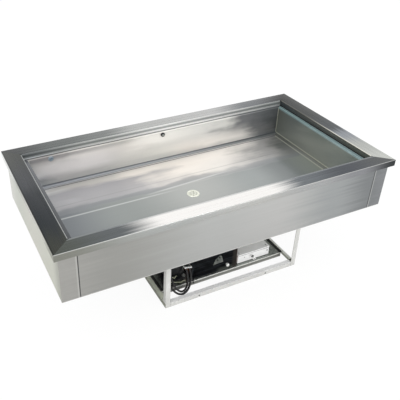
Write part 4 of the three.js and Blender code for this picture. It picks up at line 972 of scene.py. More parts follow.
print("finishes:", len(bpy.data.materials))

# %% [markdown]
# ## Dressing the solids that are right as they are
#
# Folded and sawn metal has a small radius on every edge, which catches a thin line of
# light. The solids keep their exact shape. A Weld modifier joins their loose triangles
# and a Bevel modifier rounds the edges, both left live, so the solids stay untouched.

# %% Finishes and soft edges on the solids
def dress(nodes, finish, radius=0.0):
    for name in nodes:
        solid = cad[name]
        solid.data.materials.clear()
        solid.data.materials.append(finish.material)
        if radius:
            weld_up = solid.modifiers.new("weld", "WELD")
            weld_up.merge_threshold = 0.00002
            edge = solid.modifiers.new("edge", "BEVEL")
            edge.width = radius
            edge.segments = 2
            edge.limit_method = "ANGLE"
            edge.angle_limit = math.radians(40)


def finish_piece(piece, finish, body="well", angle=35):
    if piece.type == "MESH":
        smooth(piece, angle)
    piece.data.materials.clear()
    piece.data.materials.append(finish.material)
    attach(piece, body)
    return piece


dress(["front_panel", "back_panel", "end_cover_left", "end_cover_right"], casing_steel, 0.0004)
dress(["bottom_panel"], zinc)
dress(["deck_plate", "motor_bracket", "valve_plate"], zinc, 0.0005)
bars = [name for name in cad if name.startswith(("post_", "rail_", "cross_rail"))]
dress(bars, frame_paint, 0.0009)
dress(["control_box", "control_box_lid"], box_paint, 0.0008)
dress(["thermal_break"], grey_plastic)
dress(["insulation"], foam_finish)
dress(["edge_seal_left", "edge_seal_right"], rubber, 0.001)
dress(["drain_nut"], bright_chrome, 0.0008)
dress(["terminal_cover"], black_plastic, 0.0015)
dress(["switch_bezel", "switch_rocker"], black_plastic, 0.0004)
print("solids dressed")

# %% [markdown]
# ## More ways of making a form
#
# A round piece is made as on a lathe: one ring of points is drawn out, and at each step
# it is moved along and made wider or narrower. A pipe is a line with rounded corners that
# is given a thickness. What repeats is made once and copied.

# %% Turned pieces
def face_outward():
    pick_all()
    bpy.ops.mesh.normals_make_consistent(inside=False)


def turned(name, rings, centre=(0, 0, 0), along=(0, 0, 1), sides=48, hollow=False):
    """Rings are (radius, distance along). A hollow form goes back to its first ring"""
    put_down()
    radius, height = rings[0]
    bpy.ops.mesh.primitive_circle_add(radius=radius, vertices=sides, location=(0, 0, height))
    piece = settle(named(name))
    open_up(piece, "EDGE")
    pick_all()
    for (near, low), (far, high) in zip(rings, rings[1:]):
        bpy.ops.mesh.extrude_region_move(TRANSFORM_OT_translate={"value": (0, 0, high - low)})
        bpy.ops.transform.resize(value=(far / near, far / near, 1))
    pick_all()
    if hollow:
        bpy.ops.mesh.remove_doubles(threshold=0.000005)
    else:
        bpy.ops.mesh.fill_holes(sides=0)
    face_outward()
    close_up()
    piece.rotation_euler = Vector(along).to_track_quat("Z", "Y").to_euler()
    piece.location = centre
    return settle(piece)


print("lathe ready")

# %% Pipes
def bent_route(corners, radius, steps=10):
    """The corners of a line, each one but the ends replaced by an arc"""
    corners = [Vector(corner) for corner in corners]
    points = [corners[0]]
    for before, corner, after in zip(corners, corners[1:], corners[2:]):
        back, forth = (before - corner).normalized(), (after - corner).normalized()
        half = back.angle(forth) / 2
        middle = corner + (back + forth).normalized() * (radius / math.sin(half))
        start = corner + back * (radius / math.tan(half)) - middle
        stop = corner + forth * (radius / math.tan(half)) - middle
        axis, sweep_angle = start.cross(stop).normalized(), start.angle(stop)
        for step in range(steps + 1):
            turn_by = Matrix.Rotation(sweep_angle * step / steps, 3, axis)
            points.append(middle + turn_by @ start)
    points.append(corners[-1])
    return points


def pipe(name, corners, radius, bend=0.014, sides=5):
    line = curve_through(name, bent_route(corners, bend), radius, sides)
    take_up(line)
    bpy.ops.object.convert(target="MESH")
    return named(name)


print("pipe bender ready")

# %% Copies and middles
def another(piece, name, offset=(0, 0, 0)):
    take_up(piece)
    bpy.ops.object.duplicate(linked=False)
    twin = named(name)
    twin.location = offset
    return settle(twin)


def turned_copy(piece, name, centre, axis, degrees):
    twin = another(piece, name)
    centre = Matrix.Translation(Vector(centre))
    twin.matrix_world = centre @ Matrix.Rotation(math.radians(degrees), 4, axis) @ centre.inverted()
    return settle(twin)


def middle_of(node):
    low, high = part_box(node)
    return (Vector(low) + Vector(high)) / 2


print("copies ready")

# %% Turning over, slicing and picking points
def turn_up(piece, is_level):
    """Turn all faces over if the level ones look down"""
    if sum(face.normal.z for face in piece.data.polygons if is_level(face.center.z)) < 0:
        open_up(piece)
        pick_all()
        bpy.ops.mesh.flip_normals()
        close_up()


def slice_at(places, way):
    """Cut the faces where a flat plane passes each of the places"""
    for place in places:
        pick_all()
        bpy.ops.mesh.bisect(plane_co=place, plane_no=way)


def pick_points(piece, wanted):
    bpy.ops.mesh.select_mode(type="VERT")
    bpy.ops.mesh.select_all(action="DESELECT")
    mesh = bmesh.from_edit_mesh(piece.data)
    for point in mesh.verts:
        point.select_set(bool(wanted(point.co)))
    bmesh.update_edit_mesh(piece.data)


print("mesh helpers ready")

# %% [markdown]
# ## The rim
#
# The rim is one folded frame of 2 mm sheet: flat on top, turned down on the outside as a
# lip and on the inside as a skirt that reaches the tank's ledge. A flat sheet is drawn
# inward to make its border, which also gives the mitres, and both borders are pulled
# down. The folds are rounded with Bevel. At each inside corner the fold leaves a small
# relief hole.

# %% Rim
rim_x, rim_y, rim_top = 0.675, 0.350, 0.5
lip_drop, skirt_drop = 0.026, 0.0217
near = 0.0001
put_down()
bpy.ops.mesh.primitive_plane_add(size=1, location=(0, 0, rim_top))
rim = named("rim")
rim.scale = (2 * rim_x, 2 * rim_y, 1)
settle(rim)
open_up(rim)
pick_all()
bpy.ops.mesh.inset(thickness=border_y)
bpy.ops.transform.resize(value=(opening_x / (rim_x - border_y), 1, 1))
bpy.ops.mesh.delete(type="FACE")
bpy.ops.mesh.select_mode(type="EDGE")


def on_border(a, b, half_x, half_y):
    """Whether an edge runs along the border that lies this far from the middle"""
    ends = all(abs(abs(p.x) - half_x) < near for p in (a, b)) and a.x * b.x > 0
    sides = all(abs(abs(p.y) - half_y) < near for p in (a, b)) and a.y * b.y > 0
    inside = all(abs(p.x) < half_x + near and abs(p.y) < half_y + near for p in (a, b))
    return inside and (ends or sides)


pick_edges(rim, lambda a, b: on_border(a, b, rim_x, rim_y))
bpy.ops.mesh.extrude_region_move(TRANSFORM_OT_translate={"value": (0, 0, -lip_drop)})
pick_edges(rim, lambda a, b: on_border(a, b, opening_x, opening_y))
bpy.ops.mesh.extrude_region_move(TRANSFORM_OT_translate={"value": (0, 0, -skirt_drop)})
face_outward()
pick_edges(rim, lambda a, b: min(a.z, b.z) > rim_top - near and on_border(a, b, rim_x, rim_y))
bpy.ops.mesh.bevel(offset=0.0022, offset_type="OFFSET", segments=4, affect="EDGES")
pick_edges(rim, lambda a, b: min(a.z, b.z) > rim_top - near
           and on_border(a, b, opening_x, opening_y))
bpy.ops.mesh.bevel(offset=0.0018, offset_type="OFFSET", segments=4, affect="EDGES")
close_up()
turn_up(rim, lambda level: level > rim_top - near)
modify(rim, "SOLIDIFY", thickness=0.002, offset=-1, use_even_offset=True)
relief_x, relief_y = 0.6108, 0.2908
reliefs = [rod("relief", 0.0032, (x, y, 0.494), (x, y, 0.502), 20) for x in (-relief_x, relief_x)
           for y in (-relief_y, relief_y)]
cut_out(rim, fuse("reliefs", reliefs))
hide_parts("rim_flange")
finish_piece(rim, rim_steel, angle=25)
print("rim faces:", len(rim.data.polygons))

# %% [markdown]
# ## The tank
#
# The tank is one deep drawn sheet: a pan ledge at the top, straight walls, and a rounded
# cove where walls and floor meet. Drawing each face by hand would give uneven coves. A
# block whose top is removed, with its bottom edges bevelled, gives the inside of the
# tank, and Solidify then gives the sheet its thickness on the outside.

# %% Tank
tank_sheet = 0.002
flange_x, flange_y = 0.640, 0.320
floor_top, ledge_top = 0.338, 0.478
cove = 0.012
tank = block("tank", (-wall_x, -wall_y, floor_top), (wall_x, wall_y, ledge_top))
open_up(tank)
pick_faces(tank, lambda middle, normal: normal.z > 0.9)
bpy.ops.mesh.delete(type="FACE")
bpy.ops.mesh.select_mode(type="EDGE")
pick_edges(tank, lambda a, b: max(a.z, b.z) < floor_top + near)
bpy.ops.mesh.bevel(offset=cove, offset_type="OFFSET", segments=8, affect="EDGES")
pick_edges(tank, lambda a, b: min(a.z, b.z) > ledge_top - near)
bpy.ops.mesh.extrude_region_move(TRANSFORM_OT_translate={"value": (0, 0, 0)})
bpy.ops.transform.resize(value=(flange_x / wall_x, flange_y / wall_y, 1))
pick_edges(tank, lambda a, b: min(a.z, b.z) > ledge_top - near
           and max(abs(a.x), abs(b.x)) < wall_x + 0.001
           and max(abs(a.y), abs(b.y)) < wall_y + 0.001)
bpy.ops.mesh.bevel(offset=0.0025, offset_type="OFFSET", segments=3, affect="EDGES")
pick_all()
bpy.ops.mesh.normals_make_consistent(inside=True)
close_up()
turn_up(tank, lambda level: level < floor_top + 0.001)
modify(tank, "SOLIDIFY", thickness=tank_sheet, offset=-1, use_even_offset=True)
drain = middle_of("drain_body")
cut_out(tank, rod("drain_hole", 0.0223, (drain.x, drain.y, 0.33), (drain.x, drain.y, 0.345), 64))
probe, probe_level = middle_of("probe_gland"), 0.467
grommet, grommet_level = middle_of("wall_grommet"), 0.466
for name, radius, x, level in (("probe_hole", 0.0043, probe.x, probe_level),
                               ("grommet_hole", 0.0045, grommet.x, grommet_level)):
    cut_out(tank, rod(name, radius, (x, wall_y - 0.01, level), (x, wall_y + 0.01, level), 24))
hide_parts("well_tank")
finish_piece(tank, tank_steel, angle=25)
print("tank faces:", len(tank.data.polygons))

# %% [markdown]
# ## Drain and wall fittings
#
# The drain is a polished flange pressed onto the floor, with a cup and a threaded tail
# below. Its loose strainer disc lifts out. The thread is a row of grooves and not a true
# helix, because nobody can follow it round under the casing.

# %% Drain body and strainer
thread = []
for turn in range(14):
    level = 0.2660 + turn * 0.0036
    thread += [
        (0.0195, level), (0.0186, level + 0.0009), (0.0186, level + 0.0018),
        (0.0195, level + 0.0027)]
drain_body = turned("drain_fitting", [
    (0.0170, 0.2630), (0.0190, 0.2630), (0.0195, 0.2636), *thread, (0.0195, 0.3223),
    (0.0214, 0.3223), (0.0220, 0.3230), (0.0220, 0.3383), (0.0253, 0.3383), (0.0255, 0.3387),
    (0.0249, 0.3394), (0.0238, 0.3398), (0.0200, 0.3398), (0.0192, 0.3394), (0.0189, 0.3386),
    (0.0189, 0.3374), (0.0170, 0.3374), (0.0170, 0.2630)],
    centre=(drain.x, drain.y, 0), sides=72, hollow=True)
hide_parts("drain_body")
finish_piece(drain_body, bright_chrome, angle=28)

strainer_radius = 0.0186
strainer = turned("strainer_disc", [
    (0.0180, 0.3377), (0.0186, 0.3381), (0.0186, 0.3390), (0.0181, 0.3395), (0.0168, 0.3395),
    (0.0160, 0.3391), (0.0040, 0.3394)], centre=(drain.x, drain.y, 0), sides=72)
holes = []
for share, count in ((0, 1), (0.37, 6), (0.73, 12)):
    for index in range(count):
        angle = 2 * math.pi * index / count
        x = drain.x + share * strainer_radius * math.cos(angle)
        y = drain.y + share * strainer_radius * math.sin(angle)
        holes.append(rod("hole", 0.0021, (x, y, 0.336), (x, y, 0.341), 16))
cut_out(strainer, fuse("strainer_holes", holes))
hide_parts("drain_strainer")
finish_piece(strainer, bright_chrome, "strainer")
print("strainer holes:", len(holes))

# %% Probe gland and wall grommet
wall_face = 0.2697
probe_place = (probe.x, wall_face, probe_level)
grommet_place = (grommet.x, wall_face, grommet_level)
gland_ribs = []
for rib in range(5):
    start = 0.0006 + rib * 0.0011
    gland_ribs += [
        (0.0090, start), (0.0090, start + 0.0006), (0.0084, start + 0.0007),
        (0.0084, start + 0.001)]
probe_gland = turned("probe_fitting", [
    (0.0040, -0.0110), (0.0040, -0.0001), (0.0086, 0.0), *gland_ribs, (0.0078, 0.0062),
    (0.0063, 0.0077), (0.0030, 0.0077), (0.0026, 0.0068)],
    centre=probe_place, along=(0, -1, 0), sides=36)
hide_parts("probe_gland")
finish_piece(probe_gland, black_plastic)
probe_cap = turned("probe_cap", [
    (0.0058, 0.0071), (0.0058, 0.0080), (0.0050, 0.0088), (0.0020, 0.0090), (0.0016, 0.0084)],
    centre=probe_place, along=(0, -1, 0), sides=32)
finish_piece(probe_cap, zinc)
wall_grommet = turned("wall_ring", [
    (0.0045, 0.0), (0.0106, 0.0), (0.0110, 0.0005), (0.0110, 0.0022), (0.0104, 0.0030),
    (0.0092, 0.0034), (0.0088, 0.0048), (0.0080, 0.0050), (0.0060, 0.0050), (0.0055, 0.0042),
    (0.0045, 0.0042), (0.0045, 0.0)],
    centre=grommet_place, along=(0, -1, 0), sides=40, hollow=True)
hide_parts("wall_grommet")
finish_piece(wall_grommet, grey_plastic)
blank = turned("wall_ring_blank", [
    (0.0047, 0.0002), (0.0047, 0.0020), (0.0030, 0.0026), (0.0010, 0.0027)],
    centre=grommet_place, along=(0, -1, 0), sides=32)
finish_piece(blank, grey_plastic)
print("wall fittings at", round(probe.x, 3), round(grommet.x, 3))

# %% [markdown]
# ## The compressor
#
# A sealed compressor is two pressed steel shells, one over the other, welded round their
# middle. It stands on a foot plate with four waisted rubber feet. The shell is oval in
# plan, so it is turned round and then squeezed along its length.

# %% Compressor shell and foot plate
shell = middle_of("compressor_shell")
shell_low, shell_high, dome = 0.0389, 0.1948, 0.034
rings = []
for step in range(2, 13):
    angle = math.radians(90) * step / 12
    rings.append((0.066 * math.sin(angle), shell_low + dome * (1 - math.cos(angle))))
seam = 0.142
rings += [
    (0.066, seam - 0.006), (0.0662, seam - 0.0052), (0.0676, seam - 0.0046), (0.0679, seam),
    (0.0676, seam + 0.0012), (0.0655, seam + 0.0022), (0.0652, seam + 0.004)]
for step in range(12, 1, -1):
    angle = math.radians(90) * step / 12
    rings.append((0.0652 * math.sin(angle), shell_high - dome * (1 - math.cos(angle))))
compressor = turned("compressor_body", rings, sides=96)
compressor.scale = (60 / 66, 1, 1)
compressor.location = (shell.x, shell.y, 0)
settle(compressor)
foot_plate = block("compressor_foot_plate", (shell.x - 0.053, shell.y - 0.072, 0.0359),
                   (shell.x + 0.053, shell.y + 0.072, 0.0389))
open_up(foot_plate, "EDGE")
pick_edges(foot_plate, lambda a, b: abs(a.z - b.z) > 0.002)
bpy.ops.mesh.bevel(offset=0.012, segments=6, affect="EDGES")
close_up()
round_edges(foot_plate, 0.0006)
stub_places = {"suction_stub": (-0.123, -0.07499), "discharge_stub": (-0.148, -0.04999)}
stubs = [rod(name, 0.006, (*place, 0.168), (*place, 0.21083), 32)
         for name, place in stub_places.items()]
compressor = fuse("compressor_body", [compressor, foot_plate])
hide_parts("compressor_shell")
finish_piece(compressor, black_paint)
stubs = [round_edges(stub, 0.0008) for stub in stubs]
brazed = [turned("braze", [(0.0100, 0.1842), (0.0094, 0.1872), (0.0075, 0.1905), (0.0061, 0.1950)],
                 centre=(*place, 0), sides=32) for place in stub_places.values()]
charge = pipe("charge", [
    (-0.176, -0.092, 0.170), (-0.176, -0.092, 0.224), (-0.176, -0.104, 0.236)], 0.0032, 0.008)
pinched = block("pinched_end", (-0.1800, -0.1096, 0.2350), (-0.1720, -0.1020, 0.2390))
pinched = round_edges(pinched, 0.0012)
stub_set = fuse("compressor_stubs", [*stubs, *brazed, charge, pinched])
finish_piece(stub_set, copper)
print("compressor faces:", len(compressor.data.polygons))

# %% Rubber feet, bolts and terminal clip
foot_names = ["foot_front_left", "foot_front_right", "foot_back_left", "foot_back_right"]
first_foot = turned("rubber_foot", [
    (0.0092, 0.0226), (0.0100, 0.0232), (0.0100, 0.0254), (0.0086, 0.0272), (0.0082, 0.0291),
    (0.0086, 0.0310), (0.0100, 0.0328), (0.0100, 0.0350), (0.0093, 0.0356)], sides=40)
first_bolt = [turned("washer", [(0.0085, 0.0389), (0.0085, 0.0398), (0.0080, 0.0402)], sides=32),
              round_edges(rod("bolt_head", 0.0062, (0, 0, 0.0402), (0, 0, 0.0452), 6), 0.0006),
              rod("bolt_end", 0.0028, (0, 0, 0.0452), (0, 0, 0.0486), 16)]
first_bolt = fuse("foot_bolt", first_bolt)
for name in foot_names:
    place = middle_of(name)
    foot = another(first_foot, "rubber_" + name, (place.x, place.y, 0))
    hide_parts(name)
    finish_piece(foot, rubber)
    bolt = another(first_bolt, "bolt_" + name, (place.x, place.y, 0))
    finish_piece(bolt, steel_screw)
bpy.data.objects.remove(first_foot)
bpy.data.objects.remove(first_bolt)
clip = pipe("terminal_clip", [
    (-0.176, -0.012, 0.1012), (-0.176, 0.0185, 0.1012), (-0.120, 0.0185, 0.1012),
    (-0.120, -0.012, 0.1012)], 0.0013, 0.004, 3)
finish_piece(clip, steel_screw)
print("feet and bolts:", len(foot_names))

# %% [markdown]
# ## The earth wires and the clip
#
# Two thin pale wires show in front of the compressor. One leaves a foot bolt and runs
# down to the deck. The other makes two small humps and goes to the shell. A small black
# wire clip hooks over the deck's front edge beside the hank.

# %% Earth wires and clip
wire_sheath = patchy("earth_wire_sheath", "#9da083", 0.5, 0, (90, 4),
                     [(0.35, "#b4b99a"), (0.7, "#f0f2dc")], (0.42, 0.58))
to_deck = pipe("earth_wire", [
    (-0.188, -0.134, 0.0475), (-0.182, -0.151, 0.044), (-0.155, -0.151, 0.033),
    (-0.129, -0.151, 0.0240), (-0.114, -0.151, 0.0290), (-0.109, -0.150, 0.0232)],
    0.0015, 0.004, 3)
to_shell = pipe("shell_wire", [
    (-0.188, -0.134, 0.0475), (-0.1735, -0.150, 0.0510), (-0.1695, -0.150, 0.0710),
    (-0.1600, -0.150, 0.0520), (-0.1515, -0.150, 0.0645), (-0.1440, -0.1445, 0.0560)],
    0.0015, 0.004, 3)
for piece in (to_deck, to_shell):
    finish_piece(piece, wire_sheath)
edge_clip = pipe("deck_edge_clip", [
    (-0.0942, -0.166, 0.0160), (-0.0958, -0.166, 0.0405), (-0.0890, -0.166, 0.0475),
    (-0.0815, -0.166, 0.0340), (-0.0779, -0.166, 0.0105)], 0.0016, 0.004, 3)
finish_piece(edge_clip, black_plastic)
print("earth wires and clip done")

# %% [markdown]
# ## The condenser
#
# The condenser is a block of thin aluminium fins on rows of tubes, painted black. A solid
# block would look dead, because light and dust catch each fin. One fin is made with its
# row of pressed steps, and an Array modifier repeats it. The tubes turn back on themselves
# in bends outside the end plates.

# %% Condenser fins
coil_low, coil_high = [Vector(corner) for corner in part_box("condenser")]
coil_base, coil_top = coil_low.z, 0.21769
coil_front, coil_back = coil_low.y + 0.002, coil_high.y
tube_rows = 8
row_pitch = (coil_top - coil_base) / tube_rows
fin_gap, fin_sheet = 0.0026, 0.0004
fin_start = coil_low.x + 0.003
fin = block("condenser_fins", (fin_start, coil_front, coil_base),
            (fin_start + fin_sheet, coil_back, coil_base + row_pitch))
open_up(fin, "EDGE")
pick_edges(fin, lambda a, b: max(a.y, b.y) < coil_front + 0.0001 and abs(a.x - b.x) > fin_sheet / 2)
bpy.ops.mesh.bevel(offset=0.003, segments=2, affect="EDGES")
bpy.ops.mesh.select_mode(type="FACE")
pick_faces(fin, lambda middle, normal: abs(normal.z) > 0.99)
bpy.ops.mesh.delete(type="FACE")
close_up()
modify(fin, "ARRAY", count=tube_rows, use_relative_offset=False, use_constant_offset=True,
       constant_offset_displace=(0, 0, row_pitch), use_merge_vertices=True, merge_threshold=0.00001)
fin_count = int((coil_high.x - 0.003 - fin_start) / fin_gap)
modify(fin, "ARRAY", count=fin_count, use_relative_offset=False, use_constant_offset=True,
       constant_offset_displace=(fin_gap, 0, 0))
open_up(fin, "EDGE")
pick_all()
bpy.ops.mesh.fill_holes(sides=0)
close_up()
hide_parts("condenser")
finish_piece(fin, fin_metal, angle=20)
print("fins:", fin_count, "faces:", len(fin.data.polygons))

# %% Condenser plates, tubes and bends
plates = []
end_sheet, strip = 0.0018, 0.0012
for side, x in (("left", coil_low.x), ("right", coil_high.x - end_sheet)):
    plate = block("coil_plate_" + side, (x, coil_low.y, coil_base),
                  (x + end_sheet, coil_back, coil_top))
    plates.append(round_edges(plate, 0.0005))
for side, low, high in (("top", coil_top - strip, coil_top),
                        ("foot", coil_base, coil_base + strip)):
    plate = block("coil_" + side + "_strip", (coil_low.x + end_sheet, coil_front + 0.001, low),
                  (coil_high.x - end_sheet, coil_back, high))
    plates.append(round_edges(plate, 0.0004))
coil_plates = fuse("condenser_plates", plates)
finish_piece(coil_plates, fin_metal)
tubes = []
tube_radius = 0.0035
columns = (coil_low.y + 0.0145, coil_low.y + 0.0325)
for column, y in enumerate(columns):
    for row in range(tube_rows):
        z = coil_base + (row + 0.5) * row_pitch
        tubes.append(rod("tube", tube_radius, (coil_low.x - 0.001, y, z),
                         (coil_high.x + 0.001, y, z), 16))
    for row in range(tube_rows - 1):
        z = coil_base + (row + 0.5) * row_pitch
        right_side = (row + column) % 2 == 0
        x = coil_high.x if right_side else coil_low.x
        out = x + (0.005 if right_side else -0.005)
        corners = [(x, y, z), (out, y, z), (out, y, z + row_pitch), (x, y, z + row_pitch)]
        tubes.append(pipe("bend", corners, tube_radius, 0.0048, 2))
for x in (-0.058, 0.1029):
    y = coil_low.y + 0.0245
    tubes.append(turned("port", [
        (0.0042, coil_top - 0.012), (0.0042, coil_top), (0.0050, coil_top + 0.001),
        (0.0050, coil_high.z)], centre=(x, y, 0), sides=24))
coil_tubes = fuse("condenser_tubes", tubes)
finish_piece(coil_tubes, copper)
print("tubes and bends:", len(tubes))

# %% [markdown]
# ## Fan, shroud, guard and motor
#
# Behind the coil a sheet shroud carries a flared ring. Five pitched blades turn in it on
# the motor's shaft. One blade is drawn flat, cut to strips so that it can twist, given a
# thickness, twisted and pitched, trimmed to the fan's circle, and copied round the hub.
# A guard of wire rings and spokes covers the side toward the motor.

# %% Fan blades and hub
fan_axis = Vector((0.022462, -0.0957, 0.120134))
fan_radius = 0.080
blade_root, blade_length, blade_half = 0.018, 0.066, 0.03
put_down()
bpy.ops.mesh.primitive_plane_add(size=1, location=(0.051, 0, 0))
blade = named("fan_blade")
blade.scale = (blade_length, 0.044, 1)
settle(blade)
open_up(blade, "EDGE")
pick_edges(blade, lambda a, b: min(a.x, b.x) > fan_radius)
bpy.ops.transform.resize(value=(1, 1.35, 1))
pick_points(blade, lambda point: point.x > fan_radius)
bpy.ops.mesh.bevel(offset=0.014, segments=6, affect="VERTICES")
slice_at([(blade_root + blade_length * share / 9, 0, 0) for share in range(1, 9)], (1, 0, 0))
slice_at([(0, -blade_half + 2 * blade_half * share / 5, 0) for share in range(1, 5)], (0, 1, 0))
close_up()
modify(blade, "SOLIDIFY", thickness=0.0018, offset=0)
modify(blade, "SIMPLE_DEFORM", deform_method="TWIST", deform_axis="X", angle=math.radians(-14))
blade.rotation_euler = (math.radians(25), 0, 0)
settle(blade)
modify(blade, "BOOLEAN", operation="INTERSECT", solver="EXACT",
       object=rod("fan_circle", fan_radius, (0, 0, -0.02), (0, 0, 0.02), 96))
bpy.data.objects.remove(bpy.data.objects["fan_circle"])
blade.rotation_euler = (math.radians(-90), 0, 0)
blade.location = fan_axis
settle(blade)
blades = [blade] + [turned_copy(blade, "fan_blade", fan_axis, "Y", 72 * turn)
                    for turn in range(1, 5)]
hub = turned("fan_hub", [
    (0.0090, 0.0012), (0.0110, 0.0), (0.0185, 0.0), (0.0210, 0.0012), (0.0220, 0.0040),
    (0.0220, 0.0192), (0.0212, 0.0200), (0.0040, 0.0200), (0.0040, 0.0320)],
    centre=(fan_axis.x, -0.1057, fan_axis.z), along=(0, 1, 0), sides=48)
fan_set = fuse("fan_rotor", [*blades, hub])
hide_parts("fan_blades")
finish_piece(fan_set, black_plastic, "fan")
print("fan faces:", len(fan_set.data.polygons))

# %% Shroud with its flared ring
shroud_low, shroud_high = [Vector(corner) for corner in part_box("fan_shroud")]
shroud = block("shroud", shroud_low, shroud_high)
open_up(shroud)
pick_faces(shroud, lambda middle, normal: normal.y < -0.9)
bpy.ops.mesh.delete(type="FACE")
close_up()
modify(shroud, "SOLIDIFY", thickness=0.0015, offset=-1)
shroud_hole = rod("shroud_hole", 0.086, (fan_axis.x, -0.095, fan_axis.z),
                  (fan_axis.x, -0.08, fan_axis.z), 96)
cut_out(shroud, shroud_hole)
round_edges(shroud, 0.0005, 1)
flare = turned("shroud_ring", [
    (0.0845, 0.0), (0.0845, 0.0085), (0.0852, 0.0100), (0.0875, 0.0108), (0.0875, 0.0118),
    (0.0848, 0.0112), (0.0838, 0.0090), (0.0837, 0.0), (0.0845, 0.0)],
    centre=(fan_axis.x, -0.0969, fan_axis.z), along=(0, 1, 0), sides=96, hollow=True)
shroud = fuse("fan_housing", [shroud, flare])
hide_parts("fan_shroud")
finish_piece(shroud, black_paint)
print("shroud faces:", len(shroud.data.polygons))

# %% Wire guard and motor
guard = []
guard_y = -0.0836
for ring in range(6):
    put_down()
    bpy.ops.mesh.primitive_torus_add(major_radius=0.018 + ring * 0.0136, minor_radius=0.0009,
                                     major_segments=72, minor_segments=6,
                                     location=(fan_axis.x, guard_y, fan_axis.z),
                                     rotation=(math.radians(90), 0, 0))
    guard.append(settle(named("guard_ring")))
spoke = rod("guard_spoke", 0.0012, (fan_axis.x + 0.012, guard_y + 0.0014, fan_axis.z),
            (fan_axis.x + 0.093, guard_y + 0.0014, fan_axis.z), 8)
guard += [spoke] + [turned_copy(spoke, "guard_spoke", fan_axis, "Y", 45 + 60 * turn)
                    for turn in range(5)]
guard = fuse("fan_guard", guard)
finish_piece(guard, steel_screw)
motor_rings = [
    (0.0080, 0.0), (0.0170, 0.0), (0.0185, 0.0008), (0.0222, 0.0062), (0.0335, 0.0094),
    (0.0362, 0.0110), (0.0370, 0.0130), (0.0370, 0.0258), (0.0360, 0.0266), (0.0360, 0.0278),
    (0.0370, 0.0286), (0.0370, 0.0430), (0.0362, 0.0448), (0.0262, 0.0515), (0.0250, 0.0520),
    (0.0060, 0.0520)]
motor = turned("motor_body", motor_rings, centre=(fan_axis.x, -0.07339, fan_axis.z),
               along=(0, 1, 0), sides=72)
slot_one = block("slot", (fan_axis.x - 0.0022, -0.0660, fan_axis.z + 0.0250),
                 (fan_axis.x + 0.0022, -0.0600, fan_axis.z + 0.0450))
slots = [slot_one] + [turned_copy(slot_one, "slot", fan_axis, "Y", 30 * turn)
                      for turn in range(1, 12)]
cut_out(motor, fuse("motor_slots", slots))
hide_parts("fan_motor")
finish_piece(motor, black_paint)
print("guard and motor done")

# %% [markdown]
# ## The pipes
#
# Copper pipes join compressor, condenser, drier and the coil under the tank. Each keeps
# its bends round and its ends at the fittings. The cold return pipe wears a sleeve of black
# foam, because bare copper would drip.

# %% Pipes, drier and sleeve
pipe_routes = {
    "discharge_pipe": (0.004, 0.008, [
        (-0.148, -0.04999, 0.2111), (-0.148, -0.04999, 0.23267), (-0.058, -0.04999, 0.23267),
        (-0.058, -0.13249, 0.23267), (-0.058, -0.13249, 0.22197)]),
    "liquid_pipe": (0.004, 0.008, [
        (0.10292, -0.13249, 0.22197), (0.10292, -0.13249, 0.23767),
        (0.09992, 0.04001, 0.23767), (0.09992, 0.04001, 0.17018)]),
    "liquid_riser": (0.004, 0.014, [
        (0.09992, 0.04001, 0.0896), (0.09992, 0.04001, 0.06551), (0.19992, 0.04001, 0.06551),
        (0.19992, 0.19192, 0.06551), (0.19992, 0.19192, 0.2817)]),
    "suction_pipe": (0.006, 0.014, [
        (-0.123, -0.14396, 0.2817), (-0.123, -0.14396, 0.24641),
        (-0.123, -0.07499, 0.24641), (-0.123, -0.07499, 0.21113)]),
}
for name, (radius, bend, corners) in pipe_routes.items():
    line = pipe(name + "_smooth", corners, radius, bend)
    low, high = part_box(name)
    print(name, "off its solid by mm:",
          [round(1000 * (a - b), 2) for a, b in zip(line.bound_box[0], low)])
    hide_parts(name)
    finish_piece(line, copper)
sleeve = turned("suction_sleeve", [
    (0.0064, 0.0), (0.0098, 0.0), (0.0102, 0.0006), (0.0102, 0.0344), (0.0098, 0.0350),
    (0.0064, 0.0350), (0.0064, 0.0)],
    centre=(-0.123, -0.1270, 0.24641), along=(0, 1, 0), sides=32, hollow=True)
finish_piece(sleeve, rubber)
drier_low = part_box("filter_drier")[0]
drier = turned("drier_body", [
    (0.0040, 0.0), (0.0040, 0.0028), (0.0052, 0.0050), (0.0078, 0.0078), (0.0100, 0.0106),
    (0.0110, 0.0138), (0.0110, 0.0200), (0.0105, 0.0206), (0.0105, 0.0216), (0.0110, 0.0222),
    (0.0110, 0.0660), (0.0100, 0.0694), (0.0078, 0.0722), (0.0052, 0.0750), (0.0040, 0.0772),
    (0.0040, 0.0800)], centre=(0.09992, 0.04001, drier_low.z), sides=40)
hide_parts("filter_drier")
finish_piece(drier, copper)

# %% Cooling coil under the tank
coil_pipe_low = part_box("cooling_pipe")[0]
reach_x, coil_z = 0.540, 0.3307
run_y = [0.19192, 0.1079, 0.0240, -0.0600, -0.14396]
corners = [
    (0.19992, run_y[0], 0.2820), (0.19992, run_y[0], coil_z), (reach_x, run_y[0], coil_z),
    (reach_x, run_y[1], coil_z), (-reach_x, run_y[1], coil_z), (-reach_x, run_y[2], coil_z),
    (reach_x, run_y[2], coil_z), (reach_x, run_y[3], coil_z), (-reach_x, run_y[3], coil_z),
    (-reach_x, run_y[4], coil_z), (-0.123, run_y[4], coil_z), (-0.123, run_y[4], 0.2820)]
cooling = pipe("cooling_coil", corners, 0.005, 0.014)
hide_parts("cooling_pipe")
finish_piece(cooling, copper)
print("coil box:", [round(v, 4) for v in cooling.bound_box[0]],
      [round(v, 4) for v in coil_pipe_low])

# %% [markdown]
# ## Cord fittings
#
# The cord leaves the casing through a nut and a ribbed rubber relief. Its hank hangs on a
# bent steel hook and is held by a toothed plastic tie. The moulded plug lies on the
# condenser.

